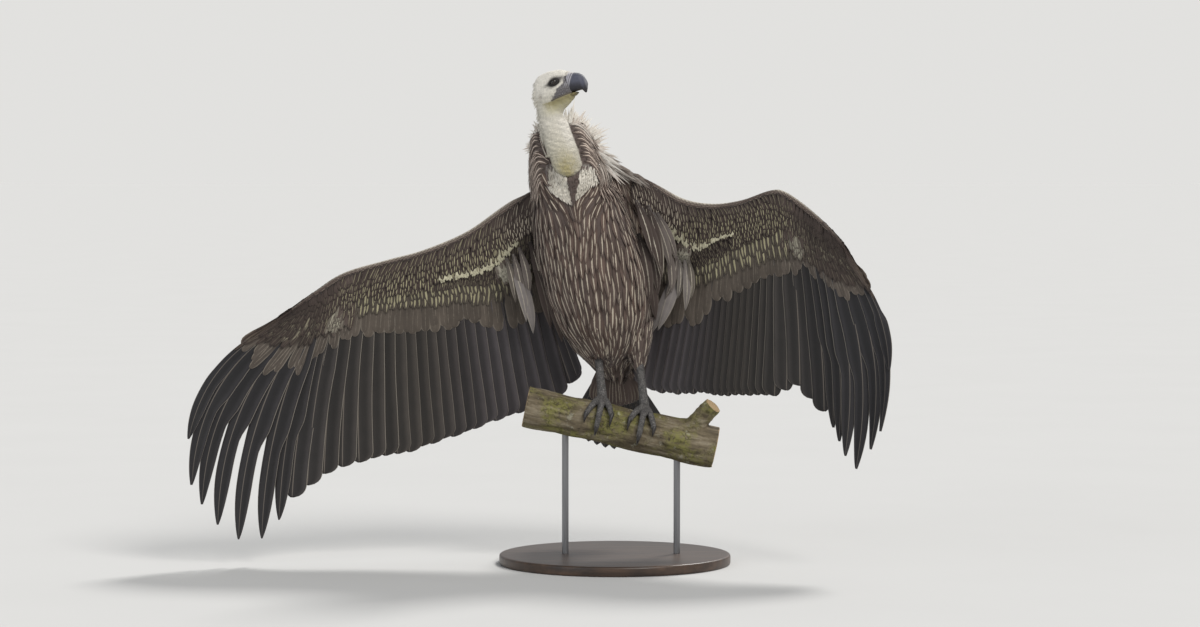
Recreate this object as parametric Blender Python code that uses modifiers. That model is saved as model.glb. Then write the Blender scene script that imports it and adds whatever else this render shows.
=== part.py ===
"""A griffon vulture standing on a short branch with its wings spread, on a plain display stand.

Metres, +Z up. The bird faces -Y, so its left side is +X. The origin is the middle of the
stand's underside. The model is still: it has no moving pieces.
"""

import math

import bmesh
import bpy
from mathutils import Vector

GAP = 0.0003  # air between neighbouring pieces

# ---- the stand and the perch ----
BASE_RADIUS = 0.280
BASE_HEIGHT = 0.024
BASE_BEVEL = 0.004
ROD_RADIUS = 0.008
ROD_X = (-0.120, 0.150)
PERCH_CENTRE = Vector((0.014, 0.0, 0.331))
PERCH_RADIUS = 0.048
PERCH_LENGTH = 0.470
PERCH_SLOPE = math.radians(12)
PERCH_SWELL = [1.06, 1.0, 1.0, 1.0, 1.02, 1.08, 1.05]  # its thickness from end to end
STUB_PLACE = 0.150  # along the perch from its middle
STUB_AIM = Vector((0.55, -0.25, 0.62)).normalized()
STUB_LENGTH = 0.120
STUB_RADIUS = 0.026
STUB_TAPER = [1.2, 1.0, 0.9]

# ---- trunk: centre line, half width and half depth from the neck base to the vent ----
TRUNK_LINE = [
    (-0.118, -0.052, 0.962), (-0.114, -0.052, 0.935), (-0.104, -0.040, 0.890),
    (-0.086, -0.024, 0.830), (-0.062, -0.006, 0.750), (-0.038, 0.016, 0.665),
    (-0.018, 0.048, 0.575), (-0.004, 0.090, 0.505), (0.002, 0.122, 0.448),
]
TRUNK_HALF_WIDTH = [0.040, 0.076, 0.106, 0.122, 0.131, 0.132, 0.116, 0.080, 0.036]
TRUNK_HALF_DEPTH = [0.040, 0.070, 0.096, 0.112, 0.120, 0.122, 0.100, 0.058, 0.026]

# ---- neck and ruff ----
NECK_LINE = [
    (-0.106, -0.070, 0.900), (-0.116, -0.108, 0.940), (-0.126, -0.122, 0.985),
    (-0.142, -0.112, 1.035), (-0.153, -0.100, 1.080), (-0.158, -0.098, 1.125),
]
NECK_RADIUS = [0.034, 0.0365, 0.036, 0.034, 0.0315, 0.030]
RUFF_LINE = [
    (-0.104, -0.044, 0.895), (-0.110, -0.050, 0.940), (-0.122, -0.056, 0.990),
    (-0.131, -0.060, 1.035), (-0.133, -0.060, 1.068),
]
RUFF_HALF_WIDTH = [0.098, 0.100, 0.088, 0.075, 0.058]
RUFF_HALF_DEPTH = [0.084, 0.086, 0.078, 0.066, 0.050]

# ---- head: its own frame is at the point between the eyes, turned and raised ----
HEAD_CENTRE = Vector((-0.134, -0.108, 1.160))
HEAD_TURN = math.radians(62)  # from straight ahead towards the bird's left
HEAD_PITCH = math.radians(15)
EYE_RADIUS = 0.0088
EYE_OUT = 0.0228
# each section: distance forward, top, underside, half width
HEAD_SECTIONS = [
    (-0.0715, -0.0080, -0.0440, 0.0100), (-0.0660, 0.0100, -0.0620, 0.0190),
    (-0.0510, 0.0285, -0.0760, 0.0280), (-0.0290, 0.0330, -0.0760, 0.0320),
    (-0.0050, 0.0325, -0.0680, 0.0310), (0.0180, 0.0275, -0.0570, 0.0250),
    (0.0340, 0.0185, -0.0465, 0.0185),
]
UPPER_BILL_SECTIONS = [
    (0.0343, 0.0178, -0.0330, 0.0170), (0.0440, 0.0125, -0.0331, 0.0152),
    (0.0530, 0.0090, -0.0333, 0.0136), (0.0590, 0.0066, -0.0352, 0.0118),
    (0.0648, 0.0022, -0.0436, 0.0088), (0.0690, -0.0042, -0.0375, 0.0068),
    (0.0722, -0.0118, -0.0300, 0.0046), (0.0742, -0.0180, -0.0262, 0.0022),
]
LOWER_BILL_SECTIONS = [
    (0.0343, -0.0336, -0.0425, 0.0122), (0.0380, -0.0338, -0.0412, 0.0104),
    (0.0415, -0.0342, -0.0398, 0.0080), (0.0445, -0.0356, -0.0386, 0.0048),
]

# ---- legs ----
HIP_TO_HEEL = {
    "right": [(-0.052, 0.020, 0.620), (-0.048, 0.030, 0.560), (-0.042, 0.038, 0.512)],
    "left": [(0.044, 0.020, 0.600), (0.052, 0.030, 0.540), (0.058, 0.036, 0.492)],
}
THIGH_RADIUS = [0.047, 0.043, 0.021]
TARSUS_RADIUS = 0.0105
TARSUS_SIZES = [(0.0, 1.25), (0.15, 1.2), (0.5, 0.95), (0.85, 1.0), (1.0, 1.1)]
TARSUS_START = Vector((0, -0.003, 0.012))  # from the lower end of the thigh's middle line
ANKLE_TURN = -0.02
ANKLE_HEIGHT = 0.0120  # over the bark
PAD_TURNS = [-0.26, -0.10, 0.10, 0.26]
PAD_RADIUS = [0.0080, 0.0105, 0.0105, 0.0080]
FOOT_PLACE = {"right": -0.058, "left": 0.046}  # along the perch from its middle
TOE_RADIUS = 0.0080
TOE_BASE, TOE_TAPER = 1.12, 0.34  # its radius at the root, and the share lost at the end
TOE_CLEAR = 0.0018  # under a toe's middle line, so that its straight stretches miss the bark
# each toe: length, sideways spread, +1 forward or -1 back
TOES = {
    "inner": (0.062, -0.030, 1),
    "middle": (0.098, 0.000, 1),
    "outer": (0.072, 0.032, 1),
    "hind": (0.046, -0.006, -1),
}
CLAW_LENGTH = {"inner": 0.028, "middle": 0.027, "outer": 0.021, "hind": 0.030}
CLAW_BASE, CLAW_TAPER = 0.58, 0.86  # of the toe's radius, and the share lost at the point
CLAW_ROOT = 0.05  # how far the claw starts inside the toe, as a turn round the perch
CLAW_HEIGHT, CLAW_RISE, CLAW_FALL = 0.0075, 0.0075, 0.0138

# ---- tail ----
TAIL_ROOT = Vector((0.000, 0.088, 0.478))
TAIL_AIM = Vector((0.03, 0.62, -0.78)).normalized()
TAIL_LENGTH = 0.285
TAIL_FEATHERS = 12
TAIL_SPREAD = math.radians(44)
TAIL_CAMBER = 0.018
TAIL_ROOT_SPREAD = 0.026
TAIL_ROUNDING = 0.10  # how much shorter the outer feathers are
TAIL_ROOT_THICKNESS, TAIL_TIP_THICKNESS = 0.0160, 0.0025
TAIL_SCALLOP = 0.04

# ---- wings: flight feathers are counted outwards from the body ----
SECONDARIES = 20
PRIMARIES = 10
LAST = SECONDARIES + PRIMARIES
JOINED_PRIMARIES = 3
SHOULDER, ELBOW = -8, 2  # where the upper arm starts and ends, in feather counts
FEATHER_HALF_WIDTH = 0.0215
FEATHER_GAP = 0.0012  # half the air between two outer primaries
COVERED_PART = 0.13  # share of each flight feather inside the fleshy arm
FEATHER_START = 0.136  # where the bare part of each flight feather starts
VANE_ROOT_THICKNESS, VANE_TIP_THICKNESS = 0.0036, 0.0014
SCALLOP = 0.022  # how far the gaps between joined feathers cut into the wing's rear edge
FINGER_NARROWING = 0.24
FINGER_START, FINGER_RUN = 0.50, 0.14  # where an outer primary narrows
TIP_START, TIP_RUN = 0.78, 0.235  # where its tip rounds off
TIP_HALF_WIDTH = 0.0016
PRIMARY_STATIONS = [0.0, 0.28, 0.52, 0.64, 0.76, 0.87, 0.95, 1.0]
ARM_SEAM = 0.03  # half the gap between two stretches of the wing, in feather counts
WING_EDGE = {
    "left": [
        (-8, (-0.020, -0.020, 0.962)), (-5, (0.059, 0.010, 0.938)), (0, (0.154, 0.020, 0.882)),
        (5, (0.230, -0.010, 0.867)), (10, (0.300, -0.045, 0.876)), (17, (0.383, -0.095, 0.903)),
        (20, (0.420, -0.115, 0.888)), (25, (0.486, -0.150, 0.834)), (30, (0.534, -0.175, 0.782)),
    ],
    "right": [
        (-8, (-0.176, -0.020, 0.925)), (-4, (-0.215, 0.000, 0.893)), (0, (-0.268, 0.010, 0.860)),
        (5, (-0.358, 0.015, 0.799)), (10, (-0.462, 0.010, 0.756)), (15, (-0.548, 0.000, 0.733)),
        (20, (-0.650, -0.015, 0.703)), (25, (-0.718, -0.030, 0.660)), (30, (-0.775, -0.045, 0.617)),
    ],
}
FEATHER_ROOTS = {
    "left": [
        (-8, (0.010, 0.040, 0.800)), (-4, (0.050, 0.055, 0.765)), (0, (0.090, 0.064, 0.752)),
        (4, (0.185, 0.045, 0.752)), (12, (0.296, -0.025, 0.812)), (20, (0.408, -0.092, 0.852)),
        (25, (0.472, -0.130, 0.818)), (30, (0.524, -0.162, 0.766)),
    ],
    "right": [
        (-8, (-0.150, 0.040, 0.800)), (-4, (-0.180, 0.050, 0.765)), (0, (-0.200, 0.060, 0.742)),
        (4, (-0.285, 0.048, 0.712)), (12, (-0.462, 0.025, 0.688)), (20, (-0.640, 0.000, 0.664)),
        (25, (-0.710, -0.020, 0.626)), (30, (-0.766, -0.040, 0.596)),
    ],
}
FEATHER_TIPS = {
    "left": [
        (-8, (0.000, 0.095, 0.560)), (0, (0.034, 0.118, 0.470)), (2, (0.084, 0.102, 0.412)),
        (8, (0.200, 0.060, 0.405)), (14, (0.300, 0.005, 0.404)), (18.5, (0.384, -0.055, 0.408)),
        (20.5, (0.443, -0.090, 0.430)), (21.5, (0.474, -0.112, 0.400)),
        (22.5, (0.498, -0.138, 0.372)), (23.5, (0.517, -0.165, 0.342)),
        (24.5, (0.529, -0.195, 0.312)), (25.5, (0.541, -0.225, 0.280)),
        (26.5, (0.564, -0.258, 0.252)), (27.5, (0.594, -0.285, 0.292)),
        (28.5, (0.616, -0.305, 0.342)), (29.5, (0.622, -0.315, 0.374)),
        (30, (0.623, -0.318, 0.384)),
    ],
    "right": [
        (-8, (-0.060, 0.110, 0.560)), (0, (-0.098, 0.118, 0.440)), (2, (-0.160, 0.106, 0.384)),
        (6, (-0.276, 0.088, 0.343)), (10, (-0.381, 0.076, 0.306)), (14, (-0.486, 0.062, 0.268)),
        (18.5, (-0.622, 0.040, 0.238)), (20.5, (-0.706, 0.022, 0.212)),
        (21.5, (-0.746, 0.010, 0.188)), (22.5, (-0.782, -0.002, 0.156)),
        (23.5, (-0.812, -0.016, 0.100)), (24.5, (-0.852, -0.034, 0.058)),
        (25.5, (-0.906, -0.052, 0.060)), (26.5, (-0.954, -0.070, 0.096)),
        (27.5, (-0.990, -0.086, 0.142)), (28.5, (-1.013, -0.100, 0.196)),
        (29.5, (-1.028, -0.110, 0.236)), (30, (-1.032, -0.112, 0.250)),
    ],
}
# how far each feather bows away from the body, and how far it bows backward
BOW_OUT = {
    "left": [(-8, 0.0), (14, 0.004), (20, 0.006), (24, 0.024), (27, 0.056), (30, 0.062)],
    "right": [(-8, 0.0), (14, 0.004), (20, 0.010), (24, 0.032), (27, 0.068), (30, 0.080)],
}
BOW_BACK = [(-8, 0.010), (20, 0.014), (30, 0.026)]
OUTERMOST_END = {"left": 0.75, "right": 0.86}  # the outermost primary is a short one
SIDE_SIGN = {"left": 1, "right": -1}
# thickness of the arm from the body to the hand, and across it from edge to feather roots
ARM_THICKNESS = [(-8, 0.052), (-3, 0.046), (4, 0.036), (12, 0.026), (20, 0.024), (30, 0.012)]
ARM_PROFILE = [(0.0, 0.22), (0.08, 0.66), (0.25, 1.0), (0.55, 0.80), (1.0, 0.16)]

SLOTS = {
    "plumage": ((0.086, 0.071, 0.062), 0.85),
    "flight_feather": ((0.034, 0.030, 0.032), 0.70),
    "down": ((0.72, 0.68, 0.60), 0.95),
    "horn": ((0.055, 0.058, 0.075), 0.40),
    "eye": ((0.012, 0.010, 0.010), 0.12),
    "leg_skin": ((0.090, 0.095, 0.110), 0.60),
    "bark": ((0.160, 0.130, 0.085), 0.95),
    "stand_board": ((0.060, 0.060, 0.062), 0.55),
    "stand_metal": ((0.050, 0.050, 0.052), 0.45),
}


def clear_scene():
    """Start from an empty file, leaving the collections to be made afresh."""
    for item in list(bpy.data.objects):
        bpy.data.objects.remove(item, do_unlink=True)


def make_collection(name):
    """A new collection under the scene's own."""
    collection = bpy.data.collections.new(name)
    bpy.context.scene.collection.children.link(collection)
    return collection


def make_materials():
    """One Principled material for each kind of surface."""
    made = {}
    for name, (colour, roughness) in SLOTS.items():
        material = bpy.data.materials.new(name)
        material.use_nodes = True
        shader = material.node_tree.nodes["Principled BSDF"]
        shader.inputs["Base Color"].default_value = (*colour, 1.0)
        shader.inputs["Roughness"].default_value = roughness
        shader.inputs["Metallic"].default_value = 0.0
        made[name] = material
    return made


clear_scene()
PARTS = make_collection("griffon_vulture")
CUTTERS = make_collection("cutters")
MATERIALS = make_materials()


# ---- curves and closed solids ----

def ease(value):
    """Clamp to 0..1 with soft ends."""
    value = min(1.0, max(0.0, value))
    return value * value * (3 - 2 * value)


def read_curve(knots, place):
    """A smooth curve through (place, value) knots; values are numbers or points."""
    places = [knot[0] for knot in knots]
    values = [Vector(knot[1]) if isinstance(knot[1], tuple) else knot[1] for knot in knots]
    place = min(places[-1], max(places[0], place))
    last = len(places) - 1
    i = max(n for n in range(last) if places[n] <= place)

    def slope(n):
        before, after = max(0, n - 1), min(last, n + 1)
        return (values[after] - values[before]) / (places[after] - places[before])

    width = places[i + 1] - places[i]
    t = (place - places[i]) / width
    start = values[i] * (2 * t**3 - 3 * t**2 + 1) + slope(i) * (width * (t**3 - 2 * t**2 + t))
    end = values[i + 1] * (3 * t**2 - 2 * t**3) + slope(i + 1) * (width * (t**3 - t**2))
    return start + end


def evenly(values):
    """Give a list of points or numbers evenly spaced places from 0 to 1."""
    last = len(values) - 1
    return [(n / last, value) for n, value in enumerate(values)]


def add_object(name, mesh, slot, collection=None):
    """Put a mesh in the scene with its material."""
    item = bpy.data.objects.new(name, mesh)
    item.data.materials.append(MATERIALS[slot])
    (collection or PARTS).objects.link(item)
    return item


def finish_mesh(name, bm, slot, smooth=40):
    """Turn a closed bmesh into an object, faces outwards and round stretches smooth.

    Faces are split into triangles, so that a clearance copy has the same flat facets.
    """
    bmesh.ops.recalc_face_normals(bm, faces=bm.faces[:])
    bmesh.ops.triangulate(bm, faces=bm.faces[:])
    mesh = bpy.data.meshes.new(name)
    bm.to_mesh(mesh)
    bm.free()
    mesh.shade_smooth()
    mesh.set_sharp_from_angle(angle=math.radians(smooth))
    return add_object(name, mesh, slot)


def loft(name, rings, slot):
    """A closed solid through rings of equal count, with a flat cap at each end."""
    bm = bmesh.new()
    rows = [[bm.verts.new(point) for point in ring] for ring in rings]
    count = len(rows[0])
    for lower, upper in zip(rows, rows[1:]):
        for n in range(count):
            m = (n + 1) % count
            bm.faces.new((lower[n], lower[m], upper[m], upper[n]))
    bm.faces.new(rows[0][::-1])
    bm.faces.new(rows[-1])
    return finish_mesh(name, bm, slot)


def oval(centre, across, along, count):
    """A ring of points with two half axes."""
    ring = []
    for n in range(count):
        turn = 2 * math.pi * n / count
        ring.append(centre + across * math.cos(turn) + along * math.sin(turn))
    return ring


def body_loft(name, line, half_widths, half_depths, slot, rings, count):
    """A loft with oval sections square to a centre line that runs roughly up or down."""
    centres, widths, depths = evenly(line), evenly(half_widths), evenly(half_depths)
    made = []
    for n in range(rings):
        t = n / (rings - 1)
        centre = read_curve(centres, t)
        ahead = read_curve(centres, min(1, t + 0.02)) - read_curve(centres, max(0, t - 0.02))
        ahead.normalize()
        across = (Vector((1, 0, 0)) - ahead * ahead.x).normalized()
        forward = ahead.cross(across)
        width, depth = read_curve(widths, t), read_curve(depths, t)
        made.append(oval(centre, across * width, forward * depth, count))
    return loft(name, made, slot)


def sheet(name, point, thickness, columns, rows, slot):
    """A closed thin solid on a surface point(s, t), thick by thickness(s, t).

    rows(s) gives the t values of one column, so the far edge may be scalloped.
    """
    bm = bmesh.new()
    faces = []
    step = 0.01
    for s in columns:
        pair = []
        for t in rows(s):
            here = point(s, t)
            beside = point(s + step, t) - point(s - step, t)
            beyond = point(s, t + step) - point(s, t - step)
            lift = beside.cross(beyond).normalized() * thickness(s, t) / 2
            pair.append((bm.verts.new(here + lift), bm.verts.new(here - lift)))
        faces.append(pair)
    last_column, last_row = len(faces) - 1, len(faces[0]) - 1
    for i in range(last_column):
        for j in range(last_row):
            a, b, c, d = faces[i][j], faces[i + 1][j], faces[i + 1][j + 1], faces[i][j + 1]
            bm.faces.new((a[0], b[0], c[0], d[0]))
            bm.faces.new((d[1], c[1], b[1], a[1]))
    for j in range(last_row):
        for i in (0, last_column):
            a, b = faces[i][j], faces[i][j + 1]
            bm.faces.new((a[0], b[0], b[1], a[1]))
    for i in range(last_column):
        for j in (0, last_row):
            a, b = faces[i][j], faces[i + 1][j]
            bm.faces.new((a[0], b[0], b[1], a[1]))
    return finish_mesh(name, bm, slot)


def tube(name, points, radii, slot, count=10):
    """A round rod that tapers along its points."""
    rings = []
    for n, centre in enumerate(points):
        ahead = points[min(n + 1, len(points) - 1)] - points[max(n - 1, 0)]
        side = ahead.orthogonal().normalized()
        if n:
            side = (last_side - ahead * last_side.dot(ahead) / ahead.length_squared).normalized()
        up = ahead.normalized().cross(side)
        rings.append(oval(centre, side * radii[n], up * radii[n], count))
        last_side = side
    return loft(name, rings, slot)


def grown_copy(item, gap=GAP):
    """A hidden copy of a piece, a little larger all round, to cut its neighbours with."""
    bm = bmesh.new()
    bm.from_mesh(item.data)
    bm.transform(item.matrix_world)
    bm.normal_update()
    moves = [(v, v.normal * gap * v.calc_shell_factor()) for v in bm.verts]
    for v, move in moves:
        v.co += move
    mesh = bpy.data.meshes.new(item.name + "_clearance")
    bm.to_mesh(mesh)
    bm.free()
    cutter = bpy.data.objects.new(mesh.name, mesh)
    cutter.hide_render = True
    cutter.display_type = "WIRE"
    CUTTERS.objects.link(cutter)
    return cutter


def hide(item):
    """Keep a piece only as something to join or cut others with."""
    PARTS.objects.unlink(item)
    CUTTERS.objects.link(item)
    item.hide_render = True
    item.display_type = "WIRE"


def add_boolean(item, other, operation):
    """An exact Boolean modifier."""
    modifier = item.modifiers.new(operation.lower(), "BOOLEAN")
    modifier.operation = operation
    modifier.solver = "EXACT"
    modifier.object = other


def clear_of(item, *neighbours):
    """Cut a piece back so that it only just misses its neighbours."""
    for neighbour in neighbours:
        add_boolean(item, grown_copy(neighbour), "DIFFERENCE")


# ---- trunk, neck, ruff ----

def make_trunk():
    return body_loft("trunk", TRUNK_LINE, TRUNK_HALF_WIDTH, TRUNK_HALF_DEPTH, "plumage", 11, 18)


def make_neck():
    return body_loft("neck", NECK_LINE, NECK_RADIUS, NECK_RADIUS, "down", 8, 14)


def make_ruff():
    return body_loft("ruff", RUFF_LINE, RUFF_HALF_WIDTH, RUFF_HALF_DEPTH, "plumage", 5, 16)


# ---- head ----

def head_axes():
    """Forward, up and rightward directions of the head."""
    level = Vector((math.sin(HEAD_TURN), -math.cos(HEAD_TURN), 0))
    forward = level * math.cos(HEAD_PITCH) + Vector((0, 0, math.sin(HEAD_PITCH)))
    right = forward.cross(Vector((0, 0, 1))).normalized()
    return forward, right.cross(forward), right


def head_point(ahead, right, up):
    forward, upward, rightward = head_axes()
    return HEAD_CENTRE + forward * ahead + rightward * right + upward * up


def head_loft(name, sections, slot, count):
    """A loft whose sections stand square to the head's length."""
    forward, upward, rightward = head_axes()
    rings = []
    for ahead, top, under, half_width in sections:
        centre = head_point(ahead, 0, (top + under) / 2)
        rings.append(oval(centre, rightward * half_width, upward * (top - under) / 2, count))
    return loft(name, rings, slot)


def make_head():
    """The head with its eyes and both halves of the bill."""
    head = head_loft("head", HEAD_SECTIONS, "down", 16)
    upper = head_loft("bill_upper", UPPER_BILL_SECTIONS, "horn", 12)
    lower = head_loft("bill_lower", LOWER_BILL_SECTIONS, "horn", 10)
    eyes = [make_eye("eye_right", EYE_OUT), make_eye("eye_left", -EYE_OUT)]
    clear_of(head, *eyes)
    clear_of(lower, upper)
    return head


def make_eye(name, out):
    bm = bmesh.new()
    bmesh.ops.create_uvsphere(bm, u_segments=12, v_segments=6, radius=EYE_RADIUS)
    bmesh.ops.translate(bm, verts=bm.verts[:], vec=head_point(0, out, 0))
    return finish_mesh(name, bm, "eye", 60)


# ---- wings ----

def feather_point(side, s, t):
    """A point on the sheet of flight feathers: s counts feathers, t runs root to tip."""
    root = read_curve(FEATHER_ROOTS[side], s)
    tip = read_curve(FEATHER_TIPS[side], s)
    chord = tip - root
    outward = Vector((-chord.z, 0, chord.x)).normalized() * SIDE_SIGN[side]
    bow = outward * read_curve(BOW_OUT[side], s) + Vector((0, 1, 0)) * read_curve(BOW_BACK, s)
    return root + chord * t + bow * (4 * t * (1 - t))


def arm_point(side, s, t):
    """A point on the middle of the arm, from the wing's front edge back to the feathers."""
    edge = read_curve(WING_EDGE[side], s)
    end = feather_point(side, s, COVERED_PART)
    return edge.lerp(end, t)


def make_arm(side, part, first, last, columns):
    """One stretch of the fleshy front of the wing."""
    places = [first + (last - first) * n / columns for n in range(columns + 1)]

    def thickness(s, t):
        return read_curve(ARM_THICKNESS, s) * read_curve(ARM_PROFILE, t)

    return sheet(
        f"wing_{side}_{part}",
        lambda s, t: arm_point(side, s, t),
        thickness, places, lambda s: [knot[0] for knot in ARM_PROFILE], "plumage",
    )


def vane_thickness(s, t):
    """Flight feathers are thickest at the root."""
    return VANE_ROOT_THICKNESS + (VANE_TIP_THICKNESS - VANE_ROOT_THICKNESS) * min(1.0, t)


def make_joined_feathers(side, name, first, last):
    """A closed run of flight feathers whose rounded tips scallop the far edge."""
    count = round((last - first) * 2)
    places = [first + (last - first) * n / count for n in range(count + 1)]

    def rows(s):
        between = abs(2 * (s % 1) - 1)
        end = 1.0 - SCALLOP * between
        return [FEATHER_START + (end - FEATHER_START) * part for part in (0, 0.55, 1)]

    return sheet(
        f"wing_{side}_{name}",
        lambda s, t: feather_point(side, s, t),
        vane_thickness, places, rows, "flight_feather",
    )


def make_primary(side, number):
    """One outer primary: full width at first, then a narrow finger."""
    middle = SECONDARIES + number - 0.5
    end = OUTERMOST_END[side] if number == PRIMARIES else 1.0

    def spacing(t):
        ahead = feather_point(side, middle + 0.2, t) - feather_point(side, middle - 0.2, t)
        return ahead.length / 0.4

    def half_width(t):
        """In feather counts, leaving a gap to the next feather."""
        run = t / end
        vane = FEATHER_HALF_WIDTH * (1 - FINGER_NARROWING * ease((run - FINGER_START) / FINGER_RUN))
        vane *= math.sqrt(max(0.0, 1 - max(0.0, (run - TIP_START) / TIP_RUN) ** 2))
        return min(0.5 - FEATHER_GAP / spacing(t), max(TIP_HALF_WIDTH, vane) / spacing(t))

    def point(s, t):
        return feather_point(side, middle + s * half_width(t), t)

    return sheet(
        f"wing_{side}_primary_{number}", point, vane_thickness, [-1, 0, 1],
        lambda s: [FEATHER_START + (end - FEATHER_START) * part for part in PRIMARY_STATIONS],
        "flight_feather",
    )


def make_wing(side):
    """The arm in three stretches, then every flight feather."""
    upper = make_arm(side, "upper_arm", SHOULDER, ELBOW - ARM_SEAM, 6)
    fore = make_arm(side, "forearm", ELBOW + ARM_SEAM, SECONDARIES - ARM_SEAM, 11)
    hand = make_arm(side, "hand", SECONDARIES + ARM_SEAM, LAST, 9)
    inner = make_joined_feathers(side, "secondaries", 0, SECONDARIES - ARM_SEAM)
    middle = SECONDARIES + JOINED_PRIMARIES
    make_joined_feathers(side, "inner_primaries", SECONDARIES + ARM_SEAM, middle - ARM_SEAM)
    for number in range(JOINED_PRIMARIES + 1, PRIMARIES + 1):
        make_primary(side, number)
    return upper, fore, hand, inner


# ---- tail ----

def tail_point(s, t):
    """A point on the fanned tail: s runs -1 to 1 across it, t root to tip."""
    across = Vector((1, 0, 0))
    back = across.cross(TAIL_AIM).normalized()
    turn = s * TAIL_SPREAD / 2
    aim = TAIL_AIM * math.cos(turn) + across * math.sin(turn)
    length = TAIL_LENGTH * (1 - TAIL_ROUNDING * s * s)
    root = TAIL_ROOT + across * (TAIL_ROOT_SPREAD * s)
    return root + aim * (length * t) + back * (TAIL_CAMBER * s * s * (0.4 + t))


def make_tail():
    count = TAIL_FEATHERS * 2
    places = [2 * n / count - 1 for n in range(count + 1)]

    def rows(s):
        between = abs(2 * ((s + 1) / 2 * TAIL_FEATHERS % 1) - 1)
        return [0.0, 0.5, 1.0 - TAIL_SCALLOP * between]

    def thickness(s, t):
        thinned = TAIL_ROOT_THICKNESS - TAIL_TIP_THICKNESS
        return TAIL_ROOT_THICKNESS - thinned * ease(t / 0.6)

    return sheet("tail", tail_point, thickness, places, rows, "flight_feather")


# ---- perch and legs ----

def perch_axes():
    """Directions along the perch and straight out of its top."""
    along = Vector((math.cos(PERCH_SLOPE), 0, -math.sin(PERCH_SLOPE)))
    return along, Vector((math.sin(PERCH_SLOPE), 0, math.cos(PERCH_SLOPE)))


def on_perch(along, turn, height):
    """A point over the perch's bark; turn runs from its top towards the front."""
    axis, up = perch_axes()
    out = up * math.cos(turn) + Vector((0, -1, 0)) * math.sin(turn)
    return PERCH_CENTRE + axis * along + out * (PERCH_RADIUS + height)


def make_perch():
    """A short branch with a sawn end at each side and a sawn stub on top."""
    axis, up = perch_axes()
    rings = []
    for share, size in evenly(PERCH_SWELL):
        centre = PERCH_CENTRE + axis * (PERCH_LENGTH * (share - 0.5))
        radius = PERCH_RADIUS * size
        rings.append(oval(centre, Vector((0, radius, 0)), up * radius, 20))
    perch = loft("perch", rings, "bark")
    start = PERCH_CENTRE + axis * STUB_PLACE
    points = [start + STUB_AIM * (STUB_LENGTH * share) for share in (0.0, 0.5, 1.0)]
    stub = tube("perch_stub", points, [STUB_RADIUS * size for size in STUB_TAPER], "bark", 10)
    hide(stub)
    add_boolean(perch, stub, "UNION")
    return perch


def toe_points(side, name):
    """The middle line of a toe that wraps the perch."""
    length, spread, way = TOES[name]
    spread *= 1 if side == "left" else -1
    reach = length / (PERCH_RADIUS + TOE_RADIUS)
    points, radii = [], []
    steps = 5
    for n in range(steps + 1):
        t = n / steps
        radius = TOE_RADIUS * (TOE_BASE - TOE_TAPER * t)
        place = FOOT_PLACE[side] + spread * (t * 1.2 - 0.2 * t * t)
        points.append(on_perch(place, way * reach * t, radius + TOE_CLEAR))
        radii.append(radius)
    return points, radii


def make_foot(side):
    """A foot with four toes as one solid, and a claw on each toe."""
    pad = [on_perch(FOOT_PLACE[side], turn, ANKLE_HEIGHT) for turn in PAD_TURNS]
    foot = tube(f"foot_{side}", pad, PAD_RADIUS, "leg_skin", 9)
    for name in TOES:
        points, radii = toe_points(side, name)
        toe = tube(f"toe_{side}_{name}", points, radii, "leg_skin", 7)
        hide(toe)
        add_boolean(foot, toe, "UNION")
        clear_of(make_claw(side, name), toe)
    return foot


def make_claw(side, name):
    """A curved claw that grows from the toe's end and touches down on the bark."""
    length, spread, way = TOES[name]
    spread *= 1 if side == "left" else -1
    start = length / (PERCH_RADIUS + TOE_RADIUS)
    reach = CLAW_LENGTH[name] / (PERCH_RADIUS + TOE_RADIUS)
    points, radii = [], []
    steps = 4
    for n in range(steps + 1):
        t = n / steps
        radius = TOE_RADIUS * CLAW_BASE * (1 - CLAW_TAPER * t ** 1.3)
        height = CLAW_HEIGHT + CLAW_RISE * t - CLAW_FALL * t * t
        turn = way * (start - CLAW_ROOT + (reach + CLAW_ROOT) * t)
        points.append(on_perch(FOOT_PLACE[side] + spread, turn, max(height, radius + TOE_CLEAR)))
        radii.append(radius)
    return tube(f"claw_{side}_{name}", points, radii, "horn", 6)


def make_leg(side):
    """Feathered thigh, bare scaly tarsus and the foot."""
    line = HIP_TO_HEEL[side]
    thigh = body_loft(f"thigh_{side}", line, THIGH_RADIUS, THIGH_RADIUS, "plumage", 5, 12)
    foot = make_foot(side)
    heel = Vector(line[-1]) + TARSUS_START
    ankle = on_perch(FOOT_PLACE[side], ANKLE_TURN, ANKLE_HEIGHT)
    points = [heel.lerp(ankle, share) for share, size in TARSUS_SIZES]
    radii = [TARSUS_RADIUS * size for share, size in TARSUS_SIZES]
    tarsus = tube(f"tarsus_{side}", points, radii, "leg_skin", 10)
    clear_of(tarsus, thigh)
    for name in TOES:
        clear_of(tarsus, bpy.data.objects[f"toe_{side}_{name}"])
    clear_of(tarsus, foot)
    return [thigh, tarsus]


# ---- stand ----

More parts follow.
